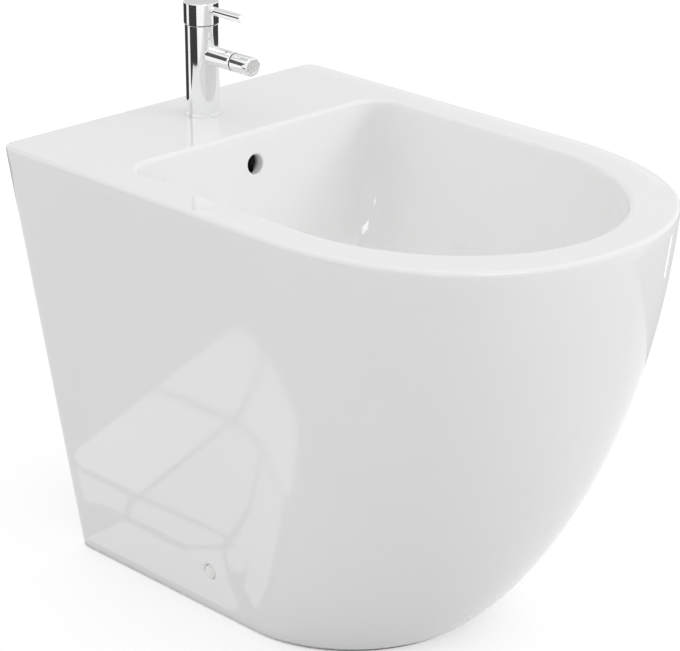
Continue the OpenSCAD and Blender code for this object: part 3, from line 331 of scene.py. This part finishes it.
def arch_cutter():
    pts = [(-ARCH_W / 2, -OVER), (ARCH_W / 2, -OVER)]
    for side in (1, -1):
        for i in range(ARCH_STEPS + 1):
            a = math.pi / 2 * i / ARCH_STEPS
            a = a if side == 1 else math.pi / 2 - a
            pts.append((side * (ARCH_W / 2 - ARCH_R + ARCH_R * math.cos(a)),
                        ARCH_H - ARCH_R + ARCH_R * math.sin(a)))
    n = len(pts)
    verts = [(x, y, z) for y in (WALL_Y - WALL_T - OVER, WALL_Y + OVER) for x, z in pts]
    faces = [tuple(range(n)), tuple(reversed(range(n, 2 * n)))]
    faces += [((i + 1) % n, i, n + i, n + (i + 1) % n)[::-1] for i in range(n)]
    obj = mesh_object("arch_cutter", verts, faces)
    return outward(obj)


def make_china():
    china = outward(ring_skin("china_glazed", china_rings()))
    combine(china, [duct_casing()], "UNION")
    side_s = SIDE_Z / (BODY_H - RIM_R)
    side_x = half_w(side_s)
    tilt = (BODY_W - BASE_W) / 2 / (BODY_H - RIM_R)
    face_a = math.asin((BODY_H - RIM_R - OVERFLOW_Z) / (BODY_H - RIM_R - FLOOR_Z - BOWL_FALL))
    face_y = lerp(WASTE_Y + PLUG_RING_R, BOWL_BACK, bowl_u(face_a))
    cutters = [
        rod("cut_tap", TAP_HOLE_R, (0, TAP_Y, BODY_H - DECK_T - OVER), (0, TAP_Y, BODY_H + OVER)),
        rod("cut_waste", WASTE_HOLE_R, (0, WASTE_Y, BOSS_Z - OVER), (0, WASTE_Y, FLOOR_Z + OVER)),
        rod("cut_recess", FLANGE_R + RECESS_GAP, (0, WASTE_Y, FLOOR_Z - FLANGE_SEAT),
            (0, WASTE_Y, FLOOR_Z + BOWL_FALL), 128),
        flared_hole("cut_overflow", OVERFLOW_R, LIP_R, DUCT_Y - face_y, (0, face_y, OVERFLOW_Z),
                    (0, -1, OVERFLOW_TILT)),
        rod("cut_duct", DUCT_R, (0, DUCT_Y, DUCT_BEND_Z), (0, DUCT_Y, OVERFLOW_Z)),
        rod("cut_duct_foot", DUCT_R, (0, DUCT_Y + OVER, DUCT_BEND_Z),
            (0, WASTE_Y + WASTE_HOLE_R - DUCT_IN, DUCT_FOOT_Z)),
        arch_cutter(),
    ]
    for side in (-1, 1):
        x = side * side_x
        within = x - side * (SIDE_RECESS + WALL_T + SIDE_THROUGH)
        cutters.append(rod(f"cut_side_{side}", SIDE_HOLE_R, (within, SIDE_Y, SIDE_Z), (x, SIDE_Y, SIDE_Z)))
        cutters.append(flared_hole(f"cut_cap_{side}", SIDE_RECESS_R, CAP_LIP_R, SIDE_RECESS,
                                   (x, SIDE_Y, SIDE_Z), (side, 0, -tilt * CAP_LEAN)))
    for cutter in cutters:
        combine(china, [cutter], "DIFFERENCE")
    smooth(china, 32)
    return china


# ---------------------------------------------------------------- materials
class Nodes:
    """A material's node tree, with short calls to add and link nodes."""

    def __init__(self, name):
        self.mat = bpy.data.materials.new(name)
        self.mat.use_nodes = True
        self.tree = self.mat.node_tree
        self.shader = self.tree.nodes["Principled BSDF"]
        self.coords = self.add("ShaderNodeTexCoord").outputs["Object"]

    def add(self, kind, **values):
        node = self.tree.nodes.new(kind)
        for key, value in values.items():
            setattr(node, key, value)
        return node

    def link(self, out, socket):
        self.tree.links.new(out, socket)

    def noise(self, scale, detail=2.0, rough=0.5, stretch=None):
        node = self.add("ShaderNodeTexNoise")
        node.inputs["Scale"].default_value = scale
        node.inputs["Detail"].default_value = detail
        node.inputs["Roughness"].default_value = rough
        coords = self.coords
        if stretch:
            mapping = self.add("ShaderNodeMapping")
            mapping.inputs["Scale"].default_value = stretch
            self.link(coords, mapping.inputs["Vector"])
            coords = mapping.outputs["Vector"]
        self.link(coords, node.inputs["Vector"])
        return node.outputs["Fac"]

    def span(self, fac, low, high, from_low=0.3, from_high=0.7):
        node = self.add("ShaderNodeMapRange")
        node.inputs["From Min"].default_value = from_low
        node.inputs["From Max"].default_value = from_high
        node.inputs["To Min"].default_value = low
        node.inputs["To Max"].default_value = high
        self.link(fac, node.inputs["Value"])
        return node.outputs["Result"]

    def mix(self, fac, a, b):
        node = self.add("ShaderNodeMix", data_type="RGBA")
        node.inputs[6].default_value = (*a, 1)
        node.inputs[7].default_value = (*b, 1)
        self.link(fac, node.inputs[0])
        return node.outputs[2]

    def bump(self, fac, distance, strength=1.0, below=None):
        node = self.add("ShaderNodeBump")
        node.inputs["Strength"].default_value = strength
        node.inputs["Distance"].default_value = distance
        self.link(fac, node.inputs["Height"])
        if below is not None:
            self.link(below, node.inputs["Normal"])
        return node.outputs["Normal"]

    def set(self, **values):
        for key, value in values.items():
            self.shader.inputs[key.replace("_", " ")].default_value = value

    def plug(self, out, socket):
        self.link(out, self.shader.inputs[socket])


def duct_shade_mask(m):
    """1 in the overflow duct, behind the bowl's back wall, where the glaze is painted near-black as the
    shade inside the hole.
    """
    axes = m.add("ShaderNodeSeparateXYZ")
    m.link(m.coords, axes.inputs[0])
    deep = m.span(axes.outputs["Y"], 0, 1, BOWL_BACK + DUCT_SHADE_FROM, BOWL_BACK + DUCT_SHADE_TO)
    for axis, middle, reach in (("X", 0.0, OVERFLOW_R + OVER),
                                ("Y", BOWL_BACK, DUCT_Y + DUCT_R + OVER - BOWL_BACK),
                                ("Z", DUCT_FOOT_Z, OVERFLOW_Z + OVERFLOW_R + OVER - DUCT_FOOT_Z)):
        near = m.add("ShaderNodeMath", operation="COMPARE")
        near.inputs[1].default_value = middle
        near.inputs[2].default_value = reach
        m.link(axes.outputs[axis], near.inputs[0])
        both = m.add("ShaderNodeMath", operation="MULTIPLY")
        m.link(deep, both.inputs[0])
        m.link(near.outputs[0], both.inputs[1])
        deep = both.outputs[0]
    return deep


def glaze():
    m = Nodes("glaze")
    white = m.mix(m.span(m.noise(7.0, 3.0), 0, 1), (0.915, 0.915, 0.912), (0.932, 0.932, 0.928))
    # Painted shade: the overflow duct is coloured near-black to stand in for the shade inside the hole
    duct_shade = m.mix(duct_shade_mask(m), (1, 1, 1), DUCT_SHADE)
    m.link(white, duct_shade.node.inputs[6])
    m.plug(duct_shade, "Base Color")
    m.plug(m.span(m.noise(35.0, 4.0), 0.055, 0.085), "Roughness")
    broad = m.bump(m.noise(14.0, 1.0), 0.0006, 0.10)
    m.plug(m.bump(m.noise(260.0, 2.0), 0.00004, 0.10, below=broad), "Normal")
    m.set(IOR=1.50)
    return m.mat


def chrome():
    m = Nodes("chrome_plate")
    m.plug(m.mix(m.span(m.noise(30.0, 3.0), 0, 1), (0.86, 0.865, 0.87), (0.90, 0.905, 0.91)), "Base Color")
    m.plug(m.span(m.noise(120.0, 5.0, 0.6), 0.03, 0.075), "Roughness")
    m.plug(m.bump(m.noise(60.0, 1.0), 0.0001, 0.06), "Normal")
    m.set(Metallic=1.0)
    return m.mat


def turned_brass():
    m = Nodes("turned_brass")
    lines = m.noise(900.0, 2.0, 0.6, (0.04, 0.04, 1.0))
    m.plug(m.mix(m.span(m.noise(90.0, 4.0), 0, 1), (0.60, 0.45, 0.18), (0.72, 0.56, 0.26)), "Base Color")
    m.plug(m.span(lines, 0.20, 0.38), "Roughness")
    m.plug(m.bump(lines, 0.00003, 0.4), "Normal")
    m.set(Metallic=1.0)
    return m.mat


def plated_steel():
    m = Nodes("plated_steel")
    spangle = m.add("ShaderNodeTexVoronoi")
    spangle.inputs["Scale"].default_value = 160.0
    m.link(m.coords, spangle.inputs["Vector"])
    m.plug(m.mix(spangle.outputs["Distance"], (0.52, 0.54, 0.56), (0.66, 0.67, 0.68)), "Base Color")
    m.plug(m.span(m.noise(220.0, 4.0), 0.28, 0.45), "Roughness")
    m.plug(m.bump(m.noise(500.0, 3.0), 0.00004, 0.5), "Normal")
    m.set(Metallic=1.0)
    return m.mat


def moulded_rubber():
    m = Nodes("moulded_rubber")
    black = m.mix(m.span(m.noise(60.0, 4.0), 0, 1), (0.018, 0.018, 0.020), (0.045, 0.045, 0.048))
    m.plug(black, "Base Color")
    m.plug(m.span(m.noise(200.0, 3.0), 0.55, 0.75), "Roughness")
    m.plug(m.bump(m.noise(700.0, 3.0), 0.00006, 0.5), "Normal")
    return m.mat


def moulded_plastic(name, dark, light, rough):
    m = Nodes(name)
    m.plug(m.mix(m.span(m.noise(40.0, 3.0), 0, 1), dark, light), "Base Color")
    m.plug(m.span(m.noise(180.0, 3.0), rough - 0.06, rough + 0.06), "Roughness")
    m.plug(m.bump(m.noise(420.0, 4.0, 0.6), 0.00005, 0.4), "Normal")
    m.set(IOR=1.49)
    return m.mat


MATERIALS = {
    "china": glaze(),
    "chrome": chrome(),
    "brass": turned_brass(),
    "steel": plated_steel(),
    "rubber": moulded_rubber(),
    "alumina": moulded_plastic("alumina", (0.80, 0.77, 0.71), (0.86, 0.83, 0.78), 0.22),
    "white_plastic": moulded_plastic("white_plastic", (0.86, 0.86, 0.85), (0.91, 0.91, 0.90), 0.16),
    "grey_plastic": moulded_plastic("grey_plastic", (0.28, 0.29, 0.31), (0.34, 0.35, 0.37), 0.42),
}
SLOTS = {row["node"]: row["material_slot"] for row in frame["record"]["subparts"]}
for node_name, node in NODES.items():
    node.data.materials.clear()
    node.data.materials.append(MATERIALS[SLOTS[node_name]])
    smooth(node)


def dress(obj, body, slot, *nodes):
    obj.data.materials.clear()
    obj.data.materials.append(MATERIALS[slot])
    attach(obj, body)
    if nodes:
        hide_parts(*nodes)
    return obj


# ---------------------------------------------------------------- the nozzle and the side caps
# Places along the spout, such as SPOUT_REACH and INSERT_FACE, are measured from the tap's axis
SPOUT_Z, SPOUT_REACH, SPOUT_R = BODY_H + 0.056, 0.041, 0.0085
NOZZLE_TIP, NOZZLE_ROUND = SPOUT_REACH + 0.025, 0.0012
BALL_S, SOCKET_R = SPOUT_REACH - 0.005, 0.0102
STEM_BORE_R, INSERT_R, INSERT_GAP = 0.0035, 0.0065, 0.00005
INSERT_FACE, INSERT_LEN, INSERT_SEAL = NOZZLE_TIP - 0.001, 0.010, 0.001
INSERT_BORE_R, INSERT_BORE_LEN = 0.0053, 0.005
RING_R, RING_T, RING_STEPS = 0.0077, 0.0007, 16
SOCKET_FROM, SOCKET_STEPS = 0.004, 12
CELL_R, CELL_PITCH, CELL_DEPTH, CELL_ROWS = 0.00045, 0.00118, 0.0012, 5
SLEEVE_LIP, SCREW_HEAD_R, SCREW_HEAD_H = 0.001, 0.0051, 0.0024
CAP_R, CAP_SHOULDER, CAP_DOME, CAP_STEPS = 0.0065, 0.0034, 0.0029, 12


def on_spout(name, profile, sides=128):
    """A solid turned about the spout's axis, from (radius, distance from the tap's axis) points."""
    return lathe(name, profile, sides, (0, TAP_Y, SPOUT_Z), facing((0, -1, 0)))


def quarter_round(centre_r, centre_s, r, steps=8):
    """Points of a rounded outer edge, from its side to its end face."""
    angles = [math.pi / 2 * i / steps for i in range(steps + 1)]
    return [(centre_r + r * math.cos(a), centre_s + r * math.sin(a)) for a in angles]


def socket_s(r):
    return BALL_S + math.sqrt(SOCKET_R ** 2 - r ** 2)


def make_nozzle():
    edge = RING_T
    ring_s = socket_s(RING_R) + RING_T
    seat_s = ring_s + RING_T
    inner = INSERT_R + INSERT_GAP
    shelf = INSERT_FACE - INSERT_LEN - INSERT_SEAL
    neck = RING_R - RING_T
    profile = [(neck, socket_s(neck)), (neck, seat_s)]
    start = seat_s + edge
    profile += [(r, 2 * start - s) for r, s in reversed(quarter_round(SPOUT_R - edge, start, edge))]
    profile += quarter_round(SPOUT_R - NOZZLE_ROUND, NOZZLE_TIP - NOZZLE_ROUND, NOZZLE_ROUND)
    profile += [(inner, NOZZLE_TIP), (inner, shelf), (STEM_BORE_R, shelf)]
    profile += [(r, socket_s(r)) for r in (STEM_BORE_R, *np.linspace(SOCKET_FROM, neck, SOCKET_STEPS)[:-1])]
    housing = on_spout("nozzle_shell", profile)
    turn = [2 * math.pi * i / RING_STEPS for i in range(RING_STEPS)]
    ring = on_spout("nozzle_seam_ring", [(RING_R + RING_T * math.cos(a), ring_s + RING_T * math.sin(a))
                                         for a in turn])
    return housing, ring


def make_side_caps():
    """The domed caps over the side fixing screws."""
    foot = half_w(SIDE_Z / (BODY_H - RIM_R)) - SIDE_RECESS + SLEEVE_LIP
    arc = [math.pi / 2 * i / CAP_STEPS for i in range(CAP_STEPS)]
    profile = [(SCREW_HEAD_R, 0), (CAP_R, 0)]
    profile += [(CAP_R * math.cos(a), CAP_SHOULDER + CAP_DOME * math.sin(a)) for a in arc]
    profile += [(AXIS_R, CAP_SHOULDER + CAP_DOME), (AXIS_R, SCREW_HEAD_H), (SCREW_HEAD_R, SCREW_HEAD_H)]
    return [lathe(f"side_cap_{name}", profile, 96, (side * foot, SIDE_Y, SIDE_Z), facing((side, 0, 0)))
            for side, name in ((-1, "left"), (1, "right"))]


def make_aerator():
    """The aerator's insert, with a hexagonal field of small cells in its face."""
    low = INSERT_FACE - INSERT_LEN
    step = low + INSERT_BORE_LEN
    insert = on_spout("aerator_screen", [(INSERT_BORE_R, low), (INSERT_R, low), (INSERT_R, INSERT_FACE),
                                         (AXIS_R, INSERT_FACE), (AXIS_R, step), (INSERT_BORE_R, step)])
    verts, faces = [], []
    for row in range(-CELL_ROWS, CELL_ROWS + 1):
        for column in range(-CELL_ROWS, CELL_ROWS + 1):
            x = (column + row % 2 / 2) * CELL_PITCH
            z = row * CELL_PITCH * math.sqrt(3) / 2
            if math.hypot(x, z) > INSERT_R - 2 * CELL_R:
                continue
            base = len(verts)
            for y in (TAP_Y - INSERT_FACE - OVER, TAP_Y - INSERT_FACE + CELL_DEPTH):
                for k in range(6):
                    a = math.pi / 3 * k
                    verts.append((x + CELL_R * math.cos(a), y, SPOUT_Z + z + CELL_R * math.sin(a)))
            faces += [tuple(base + k for k in range(6)), tuple(base + 11 - k for k in range(6))]
            faces += [(base + (k + 1) % 6, base + k, base + 6 + k, base + 6 + (k + 1) % 6) for k in range(6)]
    cells = mesh_object("cut_cells", verts, faces)
    outward(cells)
    outward(insert)
    combine(insert, [cells], "DIFFERENCE")
    smooth(insert)
    return insert


dress(make_china(), "china", "china",
      "ceramic_pedestal", "ceramic_bowl", "ceramic_duct", "ceramic_deck")
nozzle_shell, nozzle_ring = make_nozzle()
dress(nozzle_shell, "nozzle", "chrome", "nozzle_housing")
dress(nozzle_ring, "nozzle", "rubber")
dress(make_aerator(), "nozzle", "white_plastic", "aerator_insert")
for side_cap in make_side_caps():
    dress(side_cap, "china", "white_plastic", "side_caps")


# ---------------------------------------------------------------- stage, light and camera
CAMERA_AT = (-1.474469, -1.495541, 1.092615)
CAMERA_YAW, CAMERA_PITCH = 44.0611, 21.6567
FOCAL_PX, IMAGE_W, IMAGE_H = 2673.238, 680, 651
CENTRE_PX = (351.0, 327.905)
SENSOR = 36.0
FLOOR_SIZE = 12.0
FLOOR_COLOUR = (0.64, 0.64, 0.64, 1)
FLOOR_GLOW = 0.48
WORLD_LEVEL = 0.88
WHITE = 1.0


def seen_share(tree):
    """1 on camera, glossy and transmission rays, and 0 on the rays that carry light."""
    path = tree.nodes.new("ShaderNodeLightPath")
    total = path.outputs["Is Camera Ray"]
    for name in ("Is Glossy Ray", "Is Transmission Ray"):
        most = tree.nodes.new("ShaderNodeMath")
        most.operation = "MAXIMUM"
        tree.links.new(total, most.inputs[0])
        tree.links.new(path.outputs[name], most.inputs[1])
        total = most.outputs[0]
    return total


def strength(tree, share, low, high):
    """A strength of low on light rays and high on the rays that are seen."""
    node = tree.nodes.new("ShaderNodeMapRange")
    node.inputs["To Min"].default_value = low
    node.inputs["To Max"].default_value = high
    tree.links.new(share, node.inputs["Value"])
    return node.outputs["Result"]


def make_floor():
    size = FLOOR_SIZE
    floor = mesh_object("floor", [(-size, -size, 0), (size, -size, 0), (size, size, 0), (-size, size, 0)],
                        [(0, 1, 2, 3)])
    mat = bpy.data.materials.new("pale_floor")
    mat.use_nodes = True
    tree = mat.node_tree
    tree.nodes.clear()
    out = tree.nodes.new("ShaderNodeOutputMaterial")
    diffuse = tree.nodes.new("ShaderNodeBsdfDiffuse")
    diffuse.inputs["Color"].default_value = FLOOR_COLOUR
    glow = tree.nodes.new("ShaderNodeEmission")
    add = tree.nodes.new("ShaderNodeAddShader")
    tree.links.new(strength(tree, seen_share(tree), 0.0, FLOOR_GLOW), glow.inputs["Strength"])
    tree.links.new(diffuse.outputs[0], add.inputs[0])
    tree.links.new(glow.outputs[0], add.inputs[1])
    tree.links.new(add.outputs[0], out.inputs["Surface"])
    floor.data.materials.append(mat)


def make_world():
    world = bpy.data.worlds.new("studio")
    world.use_nodes = True
    tree = world.node_tree
    background = tree.nodes["Background"]
    background.inputs["Color"].default_value = (1, 1, 1, 1)
    tree.links.new(strength(tree, seen_share(tree), WORLD_LEVEL, WHITE), background.inputs["Strength"])
    bpy.context.scene.world = world


def softbox(name, at, target, width, height, level):
    """A rectangular lamp that reflections don't show; its level is the radiance of its face."""
    light = bpy.data.lights.new(name, "AREA")
    light.shape = "RECTANGLE"
    light.size, light.size_y = width, height
    light.energy = level * math.pi * width * height
    obj = new_object(name, light)
    obj.location = at
    obj.rotation_euler = (Vector(target) - Vector(at)).to_track_quat("-Z", "Y").to_euler()
    obj.visible_glossy = False
    return obj


# Daylight through a window, as panes on the floor that only the glaze and the chrome mirror.
# Their corners, in mm, were traced from the window's reflection in the photograph.
PANE_Z = 0.001
FAR_PANE, NEAR_PANE = 1.80, 1.62
PANES_MM = {
    "far_left": (FAR_PANE, [(-430, 380), (-415, 335), (-390, 305), (-320, 270), (-316, 380)]),
    "far_middle": (FAR_PANE, [(-310, 380), (-310, 271), (-192, 271), (-192, 380)]),
    "far_right": (NEAR_PANE, [(-185, 365), (-185, 278), (-164, 262), (-164, 288), (-157, 315)]),
    "left_strip": (FAR_PANE, [(-410, 320), (-350, 205), (-327, 182), (-262, 133), (-259, 138), (-309, 222),
                              (-317, 260), (-385, 298)]),
    "middle": (NEAR_PANE, [(-310, 264), (-302, 225), (-288, 202), (-229, 158), (-193, 145), (-193, 264)]),
    "right_strip": (NEAR_PANE, [(-186, 262), (-189, 147), (-181, 141), (-164, 171), (-165, 252),
                                (-175, 262)]),
    "near_strip": (NEAR_PANE, [(-300, 217), (-257, 137), (-223, 108), (-160, 60), (-136, 49), (-150, 80),
                               (-172, 96), (-188, 134), (-227, 150), (-283, 194)]),
    "near_right": (NEAR_PANE, [(-158, 254), (-157, 171), (-176, 138), (-150, 100), (-128, 62), (-121, 70),
                               (-121, 268)]),
    "right_grey": (0.68, [(700, -700), (1800, -700), (1900, 500), (1000, 900), (500, 700), (560, 250)]),
    "right_streak": (1.7, [(1060, -95), (1060, -35), (850, -40), (850, -100)]),
    "near_corner": (NEAR_PANE, [(-186, 128), (-172, 98), (-163, 95), (-160, 108), (-178, 134)]),
}

# Dark cards round the tap: spans of azimuth from +X and of elevation in degrees, distance and level
CARD_AT = Vector((0, TAP_Y, BODY_H + 0.05))
CARD_STEP = 4.0
CARDS = {
    "left_card": ((140, 197), (-21, -8), 0.8, 0.05),
    "back_card": ((51, 119), (-28, -6), 0.8, 0.05),
    "right_card": ((310, 377), (-14.6, -8.5), 0.8, 0.05),
    "spout_card": ((127, 149), (1.5, 31), 0.25, 0.10),
    "upper_card": ((72, 115), (28, 62), 0.8, 0.70),
}

# Flat panels that the glaze mirrors, as azimuth, elevation, distance, width, height and level
PANELS = {
    "grey_wall": (46.0, 21.6, 3.0, 2.4, 1.5, 0.70),
    "corner_light": (-107.0, 50.5, 4.0, 1.7, 0.8, 7.0),
    "corner_spot": (-147.0, 26.7, 4.0, 0.3, 0.4, 8.0),
}
PANEL_FROM = Vector((0, 0, BODY_H))

# Strips that the glaze mirrors along the far rim, as two insets from its edge, in metres, and a level.
# They lie past the rim by a share of the mirrored camera's distance and end part way round its front.
GLOW_REACH = 1.12
GLOW_FRONT_STEPS = 22
GLOW_END = CORNER_STEPS + SIDE_STEPS + GLOW_FRONT_STEPS
RIM_GLOW = {
    "rim_glow_outer": (-0.002, 0.0035, 1.05),
    "rim_glow_middle": (0.0035, 0.0075, 0.90),
    "rim_glow_inner": (0.0075, 0.0105, 1.10),
}


def mirrored_only(obj):
    """Leaves an object to be seen in reflections alone."""
    obj.visible_camera = obj.visible_diffuse = obj.visible_shadow = False
    obj.visible_transmission = obj.visible_volume_scatter = False


def plain_light(name, level):
    mat = bpy.data.materials.new(name)
    mat.use_nodes = True
    tree = mat.node_tree
    tree.nodes.clear()
    out = tree.nodes.new("ShaderNodeOutputMaterial")
    glow = tree.nodes.new("ShaderNodeEmission")
    glow.inputs["Strength"].default_value = level
    tree.links.new(glow.outputs[0], out.inputs["Surface"])
    return mat


def make_pane(name, level, corners):
    verts = [(x / 1000, y / 1000, PANE_Z if level > WHITE else PANE_Z / 2) for x, y in corners]
    pane = mesh_object("pane_" + name, verts, [tuple(range(len(verts)))])
    pane.data.materials.append(plain_light("daylight_" + name, level))
    mirrored_only(pane)


def make_panel(name, azimuth, elevation, distance, width, height, level):
    """An upright panel that faces the object from a distance."""
    az, el = math.radians(azimuth), math.radians(elevation)
    way = Vector((math.cos(el) * math.cos(az), math.cos(el) * math.sin(az), math.sin(el)))
    across = Vector((-math.sin(az), math.cos(az), 0)) * width / 2
    up = way.cross(across).normalized() * height / 2
    at = PANEL_FROM + way * distance
    panel = mesh_object(name, [at - across - up, at + across - up, at + across + up, at - across + up],
                        [(0, 1, 2, 3)])
    panel.data.materials.append(plain_light("level_" + name, level))
    mirrored_only(panel)


def make_card(name, azimuths, elevations, distance, level):
    columns = math.ceil((azimuths[1] - azimuths[0]) / CARD_STEP)
    rows = math.ceil((elevations[1] - elevations[0]) / CARD_STEP)
    verts, faces = [], []
    for j in range(rows + 1):
        el = math.radians(lerp(*elevations, j / rows))
        for i in range(columns + 1):
            az = math.radians(lerp(*azimuths, i / columns))
            way = Vector((math.cos(el) * math.cos(az), math.cos(el) * math.sin(az), math.sin(el)))
            verts.append(CARD_AT + distance * way)
    for j in range(rows):
        for i in range(columns):
            a = j * (columns + 1) + i
            faces.append((a, a + 1, a + columns + 2, a + columns + 1))
    card = mesh_object(name, verts, faces)
    card.data.materials.append(plain_light("shade_" + name, level))
    mirrored_only(card)


def past_camera_mirror(x, y):
    """A point of the deck's top, carried on along the ray that mirrors the camera there."""
    low = Vector((CAMERA_AT[0], CAMERA_AT[1], 2 * BODY_H - CAMERA_AT[2]))
    return low + (Vector((x, y, BODY_H)) - low) * GLOW_REACH


def make_rim_glow(name, outer, inner, level):
    """A strip that the glaze mirrors along the far edge of the rim."""
    rows = [shell_ring(BODY_H, inset)[2:GLOW_END] for inset in (outer, inner)]
    verts = [past_camera_mirror(x, y) for row in rows for x, y, _ in row]
    n = len(rows[0])
    strip = mesh_object(name, verts, [(i, i + 1, n + i + 1, n + i) for i in range(n - 1)])
    strip.data.materials.append(plain_light("level_" + name, level))
    mirrored_only(strip)


def make_camera():
    data = bpy.data.cameras.new("photo_camera")
    data.sensor_width = SENSOR
    data.lens = FOCAL_PX * SENSOR / IMAGE_W
    data.shift_x = (IMAGE_W / 2 - CENTRE_PX[0]) / IMAGE_W
    data.shift_y = (CENTRE_PX[1] - IMAGE_H / 2) / IMAGE_W
    data.clip_end = 50.0
    camera = new_object("photo_camera", data)
    camera.location = CAMERA_AT
    camera.rotation_euler = (math.radians(90 - CAMERA_PITCH), 0, math.radians(-CAMERA_YAW))
    bpy.context.scene.camera = camera


make_floor()
make_world()
for glow_name, glow_row in RIM_GLOW.items():
    make_rim_glow(glow_name, *glow_row)
for pane_name, (pane_level, pane_corners) in PANES_MM.items():
    make_pane(pane_name, pane_level, pane_corners)
for card_name, card in CARDS.items():
    make_card(card_name, *card)
softbox("front_softbox", (1.6, -2.6, 1.6), (0, 0, 0.3), 1.0, 1.0, 4.8)
for panel_name, panel in PANELS.items():
    make_panel(panel_name, *panel)
make_camera()
bpy.context.scene.view_settings.view_transform = "Standard"
